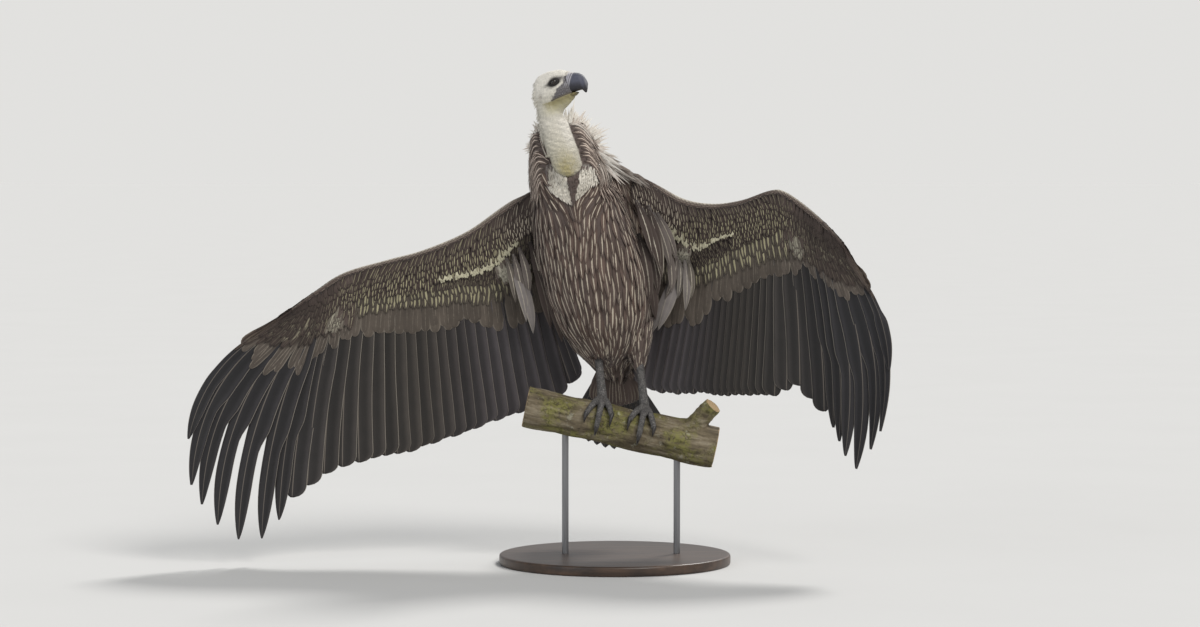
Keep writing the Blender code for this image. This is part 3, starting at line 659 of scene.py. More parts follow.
class Blade:
    """One closed thin blade: rings of points across it, from root to tip.

    Its half width rises from its start, is whole at the knee, and then falls to the least.
    """

    def __init__(self, v, across, crown, start, rise, knee, fall, power, least, root=1.0):
        self.v, self.x, self.crown = np.array(v, float), np.array(across, float), crown
        self.rows = len(v) - 1
        rising = start + (1 - start) * ease(self.v / rise)
        falling = np.maximum(0, 1 - (np.maximum(self.v - knee, 0) / fall) ** power) ** root
        self.half = np.where(self.v < knee, rising, np.maximum(least, falling))

    def faces(self):
        """Corner indices of the sides, and of the closed root and tip."""
        grid = np.arange((self.rows + 1) * len(self.x)).reshape(self.rows + 1, -1)
        after = np.roll(grid, -1, axis=1)
        sides = np.stack([grid[:-1], after[:-1], after[1:], grid[1:]], -1)
        return sides.reshape(-1, 4), np.array([grid[0][::-1], grid[-1]])


class Coat:
    """Feathers gathered into one piece: bent copies of a blade."""

    def __init__(self, name, blade):
        self.name, self.blade, self.batches = name, blade, []

    def add(self, path, normal, width, tint, mark, mark_tint, at):
        """path and normal are (feathers, rows + 1, 3); the rest is one row per feather."""
        count, blade = len(path), self.blade
        if not count:
            return
        side = unit(np.cross(np.gradient(path, axis=1), normal))
        normal = unit(np.cross(side, np.gradient(path, axis=1)))
        width = width[:, None, None]
        x = blade.x[None, None, :] * blade.half[None, :, None] * width
        lift = (1 - blade.x**2)[None, None, :] * (blade.half * blade.crown)[None, :, None] * width
        points = path[:, :, None] + side[:, :, None] * x[..., None] + normal[:, :, None] * lift[..., None]
        self.batches.append((points.reshape(count, -1, 3), *(
            np.broadcast_to(np.asarray(value, float), (count, size)).copy()
            for value, size in ((tint, 3), (mark, 3), (mark_tint, 3), (at, 2))
        )))

    def build(self, slot="plumage"):
        blade, wide = self.blade, len(self.blade.x)
        points, *paint, at = (np.concatenate(parts) for parts in zip(*self.batches))
        count, size = points.shape[:2]
        sides, ends = blade.faces()
        offset = (np.arange(count) * size)[:, None, None]
        corners = np.concatenate([(offset + part).reshape(-1) for part in (sides, ends)])
        counts = np.repeat([4, wide], [count * len(sides), count * len(ends)])
        vane = abreast(np.tile((blade.x + 1) / 2, blade.rows + 1), np.repeat(blade.v, wide))
        vane = vane[corners % size]
        low, high = at.min(0), at.max(0)
        home = PATCH + (1 - 3 * PATCH) * (at - low) / np.maximum(high - low, 1e-9)
        bake = home[corners // size] + (vane - 0.5) * PATCH
        piece = feather_piece(self.name, slot, (), points.reshape(-1, 3), corners, counts, vane, bake, paint)
        rim = np.tile([1] + [0] * (wide - 2) + [2], count * (blade.rows + 1))
        pairs = np.empty(len(piece.data.edges) * 2, np.int32)
        piece.data.edges.foreach_get("vertices", pairs)
        first, second = rim[pairs[0::2]], rim[pairs[1::2]]
        sharp = piece.data.attributes.new("sharp_edge", "BOOLEAN", "EDGE")
        sharp.data.foreach_set("value", (first == second) & (first > 0))


PATCH = 0.003  # how wide each feather's patch is in the bake's map


FIVE, EVEN_FIVE, THREE = (-1, -0.55, 0, 0.55, 1), (-1, -0.5, 0, 0.5, 1), (-1, 0, 1)
POINTED, ROUNDED = (0.35, 0.35, 0.45, 0.56, 1.8, 0.04), (0.40, 0.4, 0.6, 0.403, 2, 0.10, 0.5)
LANCE = Blade((0, 0.16, 0.32, 0.48, 0.64, 0.80, 0.92, 1), FIVE, 0.22, *POINTED)
COVERT = Blade((0, 0.25, 0.5, 0.72, 0.86, 0.95, 1), FIVE, 0.18, *ROUNDED)
SMALL_COVERT = Blade((0, 0.28, 0.56, 0.76, 0.91, 1), THREE, 0.22, *ROUNDED)
GREATER = Blade((0, 0.2, 0.45, 0.7, 0.84, 0.91, 0.96, 0.99, 1), EVEN_FIVE, 0.14,
                0.45, 0.3, 0.84, 0.161, 2, 0.12, 0.5)
TERTIAL = Blade((0, 0.15, 0.3, 0.45, 0.6, 0.72, 0.82, 0.9, 0.96, 1), EVEN_FIVE, 0.16,
                0.35, 0.4, 0.5, 0.51, 2.1, 0.07)
PLUME = Blade((0, 0.15, 0.3, 0.45, 0.6, 0.75, 0.9, 1), THREE, 0.35, 0.45, 0.3, 0.3, 0.71, 1.3, 0.03)
TUFT = Blade((0, 0.33, 0.67, 1), THREE, 0.45, *POINTED)


# ---- studio ----

FLOOR_COLOUR = np.array([0.54, 0.54, 0.535])
SENSOR_WIDTH = 36.0
VIEW_DISTANCE, VIEW_WIDTH, VIEW_RISE = 8.0, 2.88, math.radians(2.5)
VIEW_MIDDLE = Vector((-0.036, -0.05, 0.608))


def make_studio():
    """A wide pale floor, soft even lights and the camera."""
    bpy.ops.mesh.primitive_plane_add(size=400, location=(0, 0, 0))
    floor = bpy.context.object
    floor.name = "studio_floor"
    f = Finish("studio_floor", {"Roughness": 1.0, "Specular IOR Level": 0.0})
    grain = f.grain(f.place(), 2.0, 2)
    colour = f.mix(grain, tuple(FLOOR_COLOUR - 0.01), tuple(FLOOR_COLOUR + 0.01))
    f.tree.links.new(colour.socket, f.shader.inputs["Base Color"])
    floor.data.materials.append(f.material)
    sky, sky_power = np.array([0.95, 0.975, 1.0]), 0.46
    lamps = (  # direction that it shines from, softness, power, colour
        ("key_light", (2.2, -3.4, 3.3), 24, 1.9, (1.0, 0.97, 0.93)),
        ("fill_light", (-3.4, -3.2, 1.4), 40, 0.5, (0.93, 0.96, 1.0)),
        ("rim_light", (1.6, 2.6, 3.4), 14, 2.3, (1.0, 0.98, 0.95)),
    )
    seen = sky * sky_power
    for name, way, softness, power, colour in lamps:
        lamp = bpy.data.lights.new(name, "SUN")
        lamp.angle, lamp.energy, lamp.color = math.radians(softness), power, colour
        item = new_piece(name, lamp)
        item.location = way
        item.rotation_euler = Vector(way).to_track_quat("Z", "Y").to_euler()
        seen = seen + np.array(colour) * power * Vector(way).normalized().z / math.pi
    world = bpy.data.worlds.new("studio")
    bpy.context.scene.world = world
    world.use_nodes = True
    nodes, links = world.node_tree.nodes, world.node_tree.links
    light, backdrop = nodes["Background"], nodes.new("ShaderNodeBackground")
    light.inputs["Color"].default_value = (*sky, 1)
    light.inputs["Strength"].default_value = sky_power
    backdrop.inputs["Color"].default_value = (*(seen * FLOOR_COLOUR), 1)
    path, mix = nodes.new("ShaderNodeLightPath"), nodes.new("ShaderNodeMixShader")
    links.new(path.outputs["Is Camera Ray"], mix.inputs[0])
    links.new(light.outputs[0], mix.inputs[1])
    links.new(backdrop.outputs[0], mix.inputs[2])
    links.new(mix.outputs[0], nodes["World Output"].inputs["Surface"])
    lens = bpy.data.cameras.new("camera")
    lens.lens, lens.sensor_width = SENSOR_WIDTH * VIEW_DISTANCE / VIEW_WIDTH, SENSOR_WIDTH
    lens.clip_start, lens.clip_end = 0.1, 1000
    camera = new_piece("camera", lens)
    away = Vector((0, -math.cos(VIEW_RISE), math.sin(VIEW_RISE)))
    camera.location = VIEW_MIDDLE + away * VIEW_DISTANCE
    camera.rotation_euler = (VIEW_MIDDLE - camera.location).to_track_quat("-Z", "Y").to_euler()
    bpy.context.scene.camera = camera
    bpy.context.scene.view_settings.view_transform = "Standard"


# ---- the skin ----

HEAD_SECTIONS = np.array([  # ahead, top, under, half width, in tenths of a millimetre
    (-715, -80, -440, 100), (-660, 100, -620, 190), (-510, 285, -760, 280), (-290, 330, -760, 320),
    (-50, 325, -680, 310), (180, 275, -570, 250), (340, 185, -465, 185),
]) / (10 * MM)
NECK_RADIUS = [0.034, 0.0365, 0.036, 0.034, 0.0315, 0.030]
SKIN_GRAIN, LEG_GRAIN, BARK_GRAIN = 0.0052, 0.0015, 0.0032
WHITE_DOWN = (0.66, 0.62, 0.54)
GAPE = np.array([-0.0135, -0.0410])
BILL_CORNER = np.array([0.0343, -0.0336])
HORN_START, HORN_SLANT = 0.0420, 0.50


NECK_AXIS = curve(evenly(NECK_LINE))(np.linspace(0, 1, 60))
NECK_SIZE = curve(evenly(NECK_RADIUS))(np.linspace(0, 1, 60))
LORE_EDGE = curve([  # height on the face, where the dark bare skin starts
    (-0.060, -0.020), (-0.0445, -0.018), (-0.0404, -0.014), (-0.027, -0.006), (-0.017, 0.006),
    (-0.0088, 0.015), (0.0016, 0.0212), (0.0069, 0.0246), (0.0092, 0.035), (0.0115, 0.047), (0.020, 0.060),
])


def off_neck(points):
    """Distance from the neck's own surface, and the level way out from its middle line."""
    away = points[:, None] - NECK_AXIS[None]
    gap = np.linalg.norm(away, axis=2) - NECK_SIZE
    nearest = gap.argmin(1)
    out = away[np.arange(len(points)), nearest] * (1, 1, 0)
    return gap.min(1), unit(out)


def bareness(points):
    """1 on the head and neck, where the skin shows through short down; 0 under feathers."""
    bare = ease((points[:, 2] - 1.078) / 0.012)
    near = (points[:, 2] > 0.92) & (bare < 1)
    p = points[near]
    foot = ((p[:, 0] + 0.113) / 0.042) ** 2 + ((p[:, 2] - 0.982) / 0.047) ** 2
    foot = np.where(p[:, 2] < 0.982, ease((1.0 - foot) / 0.2), 1.0)
    bare[near] = np.maximum(bare[near], ease((0.0062 - off_neck(p)[0]) / 0.003) * foot)
    return bare


def creases(ahead, up):
    """Thin folds of the bare skin, side by side in front of where the horn starts; their pale colour is a
    painted sheen.
    """
    run = ahead - HORN_START - HORN_SLANT * up
    lines = sum(np.exp(-(((run + place) / 0.0014) ** 2)) for place in (0.0014, 0.0068, 0.0112))
    return np.clip(lines, 0, 1) * ease((up + 0.022) / 0.012)


def ring_solid(bm, rings):
    """Joins rings of points into a closed tube."""
    made = [[bm.verts.new(point) for point in ring] for ring in rings]
    count = len(made[0])
    for ring, after in zip(made, made[1:]):
        for k in range(count):
            bm.faces.new((ring[k], ring[(k + 1) % count], after[(k + 1) % count], after[k]))
    bm.faces.new(made[0][::-1])
    bm.faces.new(made[-1])
    return made


def head_rings(sections, count, rings, square=1.0):
    """Sections square to the head's length; square below 1 makes them boxier."""
    read = curve(evenly(sections))
    turn = np.linspace(0, 2 * math.pi, count, endpoint=False)
    made = []
    for ahead, top, under, half in read(np.linspace(0, 1, rings)):
        right = np.sign(np.cos(turn)) * np.abs(np.cos(turn)) ** square * half
        up = (top + under) / 2 + np.sin(turn) * (top - under) / 2
        made.append(from_head(abreast(ahead, right, up)))
    return made


def tube_rings(points, radii, count, flat=1.0):
    """Round sections along a line."""
    points = np.asarray(points, float)
    ahead = unit(np.gradient(points, axis=0))
    first = unit(np.cross(ahead, np.array([0.02, 1.0, 0.03])))
    second = np.cross(ahead, first)
    turn = np.linspace(0, 2 * math.pi, count, endpoint=False)
    return [
        p + (a * np.cos(turn)[:, None] + b * (np.sin(turn) * flat)[:, None]) * r
        for p, a, b, r in zip(points, first, second, radii)
    ]


def piece_of(name, bm):
    """Turns a bmesh into an object with its faces outward."""
    bmesh.ops.recalc_face_normals(bm, faces=bm.faces[:])
    mesh = bpy.data.meshes.new(name)
    bm.to_mesh(mesh)
    bm.free()
    smooth(mesh)
    return new_piece(name, mesh)


def run_modifier(piece, kind, **settings):
    pick(piece)
    made = piece.modifiers.new(kind.lower(), kind)
    for name, value in settings.items():
        setattr(made, name, value)
    bpy.ops.object.modifier_apply(modifier=made.name)


def remesh(piece, grain):
    """Joins all that overlaps into one closed surface of faces this wide."""
    run_modifier(piece, "REMESH", mode="VOXEL", voxel_size=grain, adaptivity=0.0)


def mouth_line(ahead):
    """Height of the closed mouth, from the gape to the bill."""
    share = np.clip((ahead - GAPE[0]) / (BILL_CORNER[0] - GAPE[0]), 0, 1)
    return GAPE[1] + (BILL_CORNER[1] - GAPE[1]) * share**0.8


def sculpt_head(places):
    """How far each point of the head's skin moves out, from its place in the head's frame."""
    a, r, u = head_place(places).T
    near = ease((0.075 - np.linalg.norm(head_place(places) - (-0.01, 0, -0.02), axis=1)) / 0.03)
    side = ease((np.abs(r) - 0.008) / 0.010)
    socket = np.exp(-((a / 0.0135) ** 2 + ((u + 0.0005) / 0.0095) ** 2) ** 1.5)
    brow = spot(a, u, 0.001, 0.0125, 0.017, 0.0042)
    cheek = spot(a, u, -0.022, -0.030, 0.016, 0.013)
    lore = spot(a, u, 0.019, -0.006, 0.008, 0.010)
    mouth = np.exp(-(((u - mouth_line(a)) / 0.0019) ** 2)) * ease((a - GAPE[0] + 0.004) / 0.004)
    pout = np.exp(-(((u - mouth_line(a) + 0.0045) / 0.003) ** 2)) * ease((a - GAPE[0]) / 0.006)
    ear = spot(a, u, -0.042, -0.026, 0.0042, 0.0055)
    nostril = spot(a, u, 0.0285, -0.003, 0.0016, 0.0048)
    out = (
        -0.0042 * socket + 0.0019 * brow * (a < 0.03) + 0.0014 * cheek - 0.0010 * lore
        - 0.0018 * mouth + 0.0008 * pout - 0.0024 * ear - 0.0022 * nostril
        - 0.0006 * creases(a, u)
    )
    folds = 0.0004 * ripple(places, 260, 3) + 0.0005 * ripple(places * (1, 1, 3), 150, 4)
    rings = 0.0006 * ripple(places * (0.15, 0.15, 1.0), 1050, 9) * ease((1.10 - places[:, 2]) / 0.04)
    return side * out * near + folds * 0.7 + rings


def crop_patch(points):
    """Share of white down, and of the whole crop: two slanting patches with brown between."""
    x, y, z = points.T
    off = x + 0.100
    lower = 0.872 + np.where(off < 0, -0.60, 0.95) * off + 0.004 * ripple(points, 120, 45)
    area = ease((z - lower) / 0.005) * ease((0.066 - np.abs(off)) / 0.008)
    area = area * ease((0.966 - z) / 0.008) * (y < -0.05)
    gap = np.clip(0.0045 + 0.225 * (z - 0.879), 0.0030, 0.0175)
    return area * ease((np.abs(off) - gap) / 0.004 + 0.5), area


def markings(points):
    """The bird's colours by place, with painted light and shade on the head and neck: the skin and the down
    over it share them.
    """
    x, y, z = points.T
    a, r, u = head_place(points).T
    soft = ripple(points, 90, 7) * 0.5 + ripple(points, 330, 8) * 0.5
    rings = ripple(points * (0.15, 0.15, 1.0), 1050, 9)
    tint = np.tile(np.array([0.085, 0.062, 0.054]), (len(points), 1))
    is_head = ease((0.100 - np.linalg.norm(abreast(a, r, u + 0.02), axis=1)) / 0.012)
    pale = blend((0.47, 0.44, 0.355), (0.57, 0.54, 0.475), ease((z - 0.97) / 0.12))
    # painted shade: the lower front of the neck is painted olive, for shade tinted by green reflected light
    low = np.exp(-(((x + 0.113) / 0.030) ** 2)) * ease((1.025 - z) / 0.075) * (y < -0.08)
    # painted light: the neck is painted paler on its +X side, where the key light falls
    left = ease((off_neck(points)[1][:, 0] - 0.1) / 0.7) * ease((1.10 - z) / 0.03)
    pale = blend(pale, (0.68, 0.65, 0.60), 0.45 * left)
    pale = blend(pale, (0.31, 0.265, 0.115), 0.85 * np.clip(low * (1 + 0.4 * soft), 0, 1))
    pale = pale * (1 - 0.15 * np.clip(rings, -1, 1))[:, None]
    tint = blend(tint, np.array(WHITE_DOWN) * 0.8, crop_patch(points)[0])
    tint = blend(tint, pale, bareness(points))
    head = blend((0.66, 0.63, 0.565), (0.50, 0.475, 0.405), ease((-0.010 - u) / 0.03))
    # painted reflection: the throat and chin are painted olive for green light reflected from leaves, darker
    # up towards the mouth
    throat = ease((mouth_line(a) - u + 0.001) / 0.004) * ease((a + 0.052 - 0.006 * soft) / 0.034)
    throat = throat * ease((u + 0.086 + 0.006 * soft) / 0.040)
    chin = ease((u - mouth_line(a) + 0.024) / 0.020)
    # painted shade: grey patches on the cheek below the eye
    cheek = ease(ripple(points, 210, 14) * 0.8 - 0.1) * ease((-0.004 - u) / 0.012) * ease((a + 0.055) / 0.02)
    head = blend(head, (0.36, 0.345, 0.31), 0.30 * cheek)
    head = blend(head, blend((0.36, 0.33, 0.185), (0.205, 0.175, 0.068), chin), 0.88 * throat)
    lore = ease((a - LORE_EDGE(u) + 0.0045 * soft + 0.001) / 0.0065) * ease((u - mouth_line(a)) / 0.003)
    head = blend(head, (0.074, 0.068, 0.076), 0.94 * lore)
    # painted highlight: pale sheen along the folds
    head = blend(head, (0.40, 0.39, 0.42), 0.75 * creases(a, u) * lore)
    tall = 0.0118 - 0.0060 * ease((-0.006 - a) / 0.015) - 0.0030 * ease((a - 0.008) / 0.010)
    eye = np.exp(-(((a + 0.0015) / 0.0215) ** 2 + ((u - 0.0002 - 0.17 * a) / tall) ** 2) ** 1.2)
    head = blend(head, (0.015, 0.012, 0.012), 0.97 * ease(eye * 1.25) * (np.abs(r) > 0.012))
    front = spot(a, u, 0.0185, 0.0065, 0.007, 0.0045)
    head = blend(head, (0.05, 0.045, 0.05), 0.75 * front * (np.abs(r) > 0.008))
    ear = spot(a, u, -0.042, -0.026, 0.006, 0.008)
    head = blend(head, (0.22, 0.19, 0.16), 0.55 * ear)
    # painted shade: a near-black line in the crease of the closed mouth
    mouth = np.exp(-(((u - mouth_line(a)) / 0.0021) ** 2)) * ease((a - GAPE[0] + 0.005) / 0.004)
    head = blend(head, (0.030, 0.020, 0.014), 0.95 * mouth)
    tint = blend(tint, head, is_head * ease((u + 0.095) / 0.03))
    return tint * (1 + 0.05 * soft[:, None])


def make_skin():
    """One closed skin over head, neck, trunk, arms and thighs, inside the coat."""
    flesh = ["trunk", "ruff", "thigh_left", "thigh_right"] + [
        f"wing_{side}_{part}" for side in SIGN for part in ("upper_arm", "forearm", "hand")
    ]
    bm = bmesh.new()
    for name in flesh:
        bm.from_mesh(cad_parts[name].data)
    ring_solid(bm, head_rings(HEAD_SECTIONS, 40, 36))
    ring_solid(bm, tube_rings(NECK_AXIS, NECK_SIZE, 32))
    piece = piece_of("skin", bm)
    remesh(piece, SKIN_GRAIN)
    run_modifier(piece, "SMOOTH", factor=0.5, iterations=5)
    mesh = piece.data
    places, normals = vertex_places(mesh), vertex_places(mesh, "normal")
    places = places - normals * skin_depth(places)[:, None]
    reshape(mesh, places)
    bm = bmesh.new()
    bm.from_mesh(mesh)
    centres = np.array([face.calc_center_median() for face in bm.faces])
    fine = [face for face, bare in zip(bm.faces, bareness(centres)) if bare > 0.2]
    edges = list({edge for face in fine for edge in face.edges})
    bmesh.ops.subdivide_edges(bm, edges=edges, cuts=3, use_grid_fill=True)
    corners = np.array([vertex.co for vertex in bm.verts])
    close = [vertex for vertex, bare in zip(bm.verts, bareness(corners)) if bare > 0.2]
    for _ in range(4):
        bmesh.ops.smooth_vert(bm, verts=close, factor=0.5, use_axis_x=True, use_axis_y=True, use_axis_z=True)
    bmesh.ops.triangulate(bm, faces=[f for f in bm.faces if len(f.verts) > 4])
    bm.to_mesh(mesh)
    bm.free()
    mesh.update()
    places, normals = vertex_places(mesh), vertex_places(mesh, "normal")
    places = places + normals * (sculpt_head(places) * bareness(places))[:, None]
    reshape(mesh, places)
    write(mesh, "tint", markings(places))
    a, r, u = head_place(places).T
    lore = ease((a - LORE_EDGE(u)) / 0.004) * ease((u - mouth_line(a)) / 0.003) * (places[:, 2] > 1.08)
    write(mesh, "mark", abreast(lore, 0, 0))
    return show(piece, "plumage", SKIN, *flesh, "head", "neck")


def skin_depth(places):
    """How deep the skin lies inside the flesh nodes."""
    arm = np.abs(places[:, 0] + 0.06) > 0.17
    return np.where(arm, 0.0030, 0.0075) * (1 - bareness(places)) + 0.0012 * bareness(places)


SKIN_PIECE = make_skin()


def tree_of(piece):
    mesh = piece.data
    mesh.calc_loop_triangles()
    corners = np.empty(len(mesh.loop_triangles) * 3, np.int32)
    mesh.loop_triangles.foreach_get("vertices", corners)
    places = vertex_places(mesh)
    corners = corners.reshape(-1, 3)
    return BVHTree.FromPolygons(places.tolist(), corners.tolist()), places, corners


TREE, SKIN_PLACES, SKIN_CORNERS = tree_of(SKIN_PIECE)
AREA_CORNERS = SKIN_PLACES[SKIN_CORNERS]
FACE_NORMALS = np.cross(AREA_CORNERS[:, 1] - AREA_CORNERS[:, 0], AREA_CORNERS[:, 2] - AREA_CORNERS[:, 0])
FACE_AREAS = np.linalg.norm(FACE_NORMALS, axis=1) / 2
FACE_NORMALS = unit(FACE_NORMALS)
NEIGHBOURS = list(product((-1, 0, 1), repeat=3))


def scatter(spacing, seed, least, squash=1.0):
    """Even places on the skin. spacing(points) is the distance kept, or 0 for none.

    With squash below 1 the places lie further apart in height than sideways.
    """
    rng = np.random.default_rng(seed)
    weight = FACE_AREAS * (spacing(AREA_CORNERS.mean(1)) > 0)
    count = int(weight.sum() / least**2 * 5)
    face = rng.choice(len(weight), count, p=weight / weight.sum())
    mix = rng.dirichlet((1, 1, 1), count)
    points = (AREA_CORNERS[face] * mix[:, :, None]).sum(1)
    gaps = spacing(points)
    squashed = points * (1, 1, squash)
    cells = np.floor(squashed / gaps.max()).astype(int)
    grid, kept = {}, []
    for n in np.flatnonzero(gaps > 0):
        p, (i, j, k) = squashed[n], cells[n]
        near = (q for di, dj, dk in NEIGHBOURS for q in grid.get((i + di, j + dj, k + dk), ()))
        if all((p[0] - q[0]) ** 2 + (p[1] - q[1]) ** 2 + (p[2] - q[2]) ** 2 >= gaps[n] ** 2 for q in near):
            grid.setdefault((i, j, k), []).append(p)
            kept.append(n)
    return points[kept], FACE_NORMALS[face[kept]]


def creep(starts, normals, lie, lengths, blade, base, lift):
    """Paths that follow the skin along lie(points), rising towards their tips."""
    here, normal = starts.copy(), normals.copy()
    lift = np.broadcast_to(lift, (len(here),))
    path, facing = [], []
    for row, share in enumerate(blade.v):
        path.append(here + normal * (base + lift * share**1.5)[:, None])
        facing.append(normal)
        if row == blade.rows:
            break
        way = lie(here)
        way = unit(way - normal * (way * normal).sum(1, keepdims=True))
        ahead = here + way * (lengths * (blade.v[row + 1] - share))[:, None]
        normal = normal.copy()
        for n in range(len(ahead)):
            spot, face, _, _ = TREE.find_nearest(ahead[n])
            ahead[n] = spot
            normal[n] = normal[n] * 0.5 + np.array(face) * 0.5
        here, normal = ahead, unit(normal)
    return np.stack(path, 1), np.stack(facing, 1)


# ---- the body's coat ----

CREAM = (0.50, 0.44, 0.35)
OLIVE_CREAM = (0.355, 0.325, 0.205)
BROWN = np.array([0.105, 0.077, 0.067])
AXIS = curve(TRUNK_LINE[:, [2, 0, 1]] * (-1, 1, 1))


def off_axis(points):
    """Sideways and forward distance from the trunk's middle line."""
    middle = AXIS(-points[:, 2])
    return points[:, 0] - middle[:, 0], points[:, 1] - middle[:, 1]


def body_lie(points):
    """Feathers run down the body, meet under the crop and spread over the shoulders."""
    side, front = off_axis(points)
    z = points[:, 2]
    high = ease((z - 0.80) / 0.10)
    near = np.exp(-((side / 0.065) ** 2))
    meet = -(9.0 + 19.0 * ease((z - 0.835) / 0.05)) * near * ease((z - 0.79) / 0.07) * (front < 0)
    x = 0.10 + side * (meet + 2.6 * (1 - near) * high - 1.2 * (1 - high))
    back = (front > 0.02)
    x = np.where(back, side * (3.0 * high - 0.8), x)
    x = x + 0.12 * ripple(points, 38, 11)
    y = 0.12 + 0.25 * back - 0.3 * high * ~back
    return abreast(x, y, -1.0)


def on_body(points):
    """True where body feathers grow."""
    side, _ = off_axis(points)
    z = points[:, 2]
    reach = np.where(z < 0.66, 0.25, 0.155 + 0.060 * ease((z - 0.78) / 0.08))
    return (bareness(points) < 0.5) & (np.abs(side) < reach) & (z > 0.43)


def dress_body():
    rng = np.random.default_rng(5)

    def spacing(points):
        side, front = off_axis(points)
        x, y, z = points.T
        size = 0.0102 + 0.0038 * ease((0.93 - z) / 0.30) + 0.002 * (front > 0.03)
        ruffed = (z > 0.958) & (np.abs(x + 0.115) < 0.105)
        return np.where(on_body(points) & (crop_patch(points)[1] < 0.5) & ~ruffed, size, 0)

    points, normals = scatter(spacing, 21, 0.0106, 0.50)
    side, front = off_axis(points)
    z = points[:, 2]
    low = ease((0.93 - z) / 0.30)
    length = (0.050 + 0.044 * low) * rng.uniform(0.85, 1.18, len(points))
    width = (0.0066 + 0.0032 * low) * rng.uniform(0.9, 1.1, len(points))
    path, facing = creep(points, normals, body_lie, length, LANCE, -0.001, 0.0065)
    tone = rng.uniform(0.78, 1.22, (len(points), 1))
    tint = BROWN * 0.86 * tone * blend((1.0, 1.0, 1.0), (1.10, 1.0, 0.93), rng.random(len(points)))
    back = front > 0.02
    middle = np.exp(-(((side + 0.01) / 0.024) ** 2)) * ease((z - 0.80) / 0.05)
    streak = np.where(back, 0.50, 1.0 - 0.75 * middle) * rng.uniform(0.70, 1.0, len(points))
    mark = abreast(rng.uniform(0.150, 0.225, len(points)), streak, np.where(back, 0.35, 0.04))
    cream = np.array(CREAM) * rng.uniform(0.82, 1.12, (len(points), 1))
    at = abreast(np.arctan2(side, -front), z)
    for name, part in (("breast_feathers", front < 0.0), ("back_feathers", front >= 0.0)):
        coat = Coat(name, LANCE)
        wide = width[part] * np.where(back[part], 1.35, 1.0)
        coat.add(path[part], facing[part], wide, tint[part], mark[part], cream[part], at[part])
        coat.build()


def dress_crop():
    """White down on the two sides of the crop, brown in its middle."""
    rng = np.random.default_rng(9)

    def spacing(points):
        area = crop_patch(points)[1]
        return np.where((area > 0.1) & (bareness(points) < 0.6) & (points[:, 2] > 0.86), 0.0034, 0)

    points, normals = scatter(spacing, 22, 0.0034)
    white, area = crop_patch(points)
    length = rng.uniform(0.012, 0.019, len(points))
    path, facing = creep(points, normals, body_lie, length, TUFT, 0.001, 0.0055)
    light = blend((0.48, 0.44, 0.37), WHITE_DOWN, ease((ripple(points, 90, 10) + 1.1) / 1.6))
    tint = blend((0.105, 0.076, 0.066), light, ease((white - 0.3) / 0.4))
    tint = tint * rng.uniform(0.85, 1.1, (len(points), 1))
    coat = Coat("crop_down", TUFT)
    width = rng.uniform(0.0018, 0.0028, len(points))
    coat.add(path, facing, width, tint, (0, 0, 0), WHITE_DOWN, points[:, [0, 2]])
    coat.build("down")


def head_lie(points):
    """Down runs back from the bill over the head and down the neck."""
    place = head_place(points)
    on_head = ease((0.085 - np.linalg.norm(place - (-0.01, 0, -0.02), axis=1)) / 0.03)
    back = np.array(-FORWARD) - 0.35 * np.array(UP)
    return blend((0.05, 0.0, -1.0), back, on_head) + 0.15 * np.stack(
        [ripple(points, 120, 31), ripple(points, 120, 32), ripple(points, 120, 33)], 1)


def dress_head():
    """Short down on the head and neck, shortest on the face."""
    rng = np.random.default_rng(13)

    def spacing(points):
        a, r, u = head_place(points).T
        bare = ease((a - LORE_EDGE(u) + 0.002) / 0.004) + (mouth_line(a) - u > 0) * (a > -0.012)
        bare = bare + (np.exp(-((a / 0.0195) ** 2 + ((u - 0.15 * a) / 0.0115) ** 2) ** 2) > 0.35)
        bare = bare * (points[:, 2] > 1.085)
        high = ease((points[:, 2] - 1.08) / 0.05)
        return np.where((bareness(points) > 0.5) & (bare < 0.5), 0.0031 - 0.0004 * high, 0)

    points, normals = scatter(spacing, 23, 0.0030)
    a, r, u = head_place(points).T
    nape = ease((-0.045 - a) / 0.02) * ease((points[:, 2] - 1.03) / 0.04)
    clump = nape * ease((ripple(points, 360, 12) + 0.1) / 0.8)
    face = ease((a + 0.04) / 0.04) * (points[:, 2] > 1.09)
    length = (0.0060 + 0.0085 * clump - 0.0026 * face) * rng.uniform(0.8, 1.25, len(points))
    lift = 0.0007 + 0.0075 * clump
    path, facing = creep(points, normals, head_lie, length, TUFT, -0.0002, lift)
    tint = markings(points) * rng.uniform(0.90, 1.1, (len(points), 1))
    tint = blend(tint, WHITE_DOWN, 0.55 * nape)
    wide = (0.0011 + 0.0009 * clump) * rng.uniform(0.8, 1.2, len(points))
    coat = Coat("head_down", TUFT)
    coat.add(path, facing, wide, tint, (0, 0, 0), WHITE_DOWN, abreast(np.arctan2(r, u), a))
    coat.build("down")


def free_path(starts, ways, lengths, v, bend):
    """Paths that leave the skin straight and bend by a vector towards their tips."""
    v = v[None, :, None]
    return starts[:, None] + (ways[:, None] * v + bend[:, None] * v**2) * lengths[:, None, None]


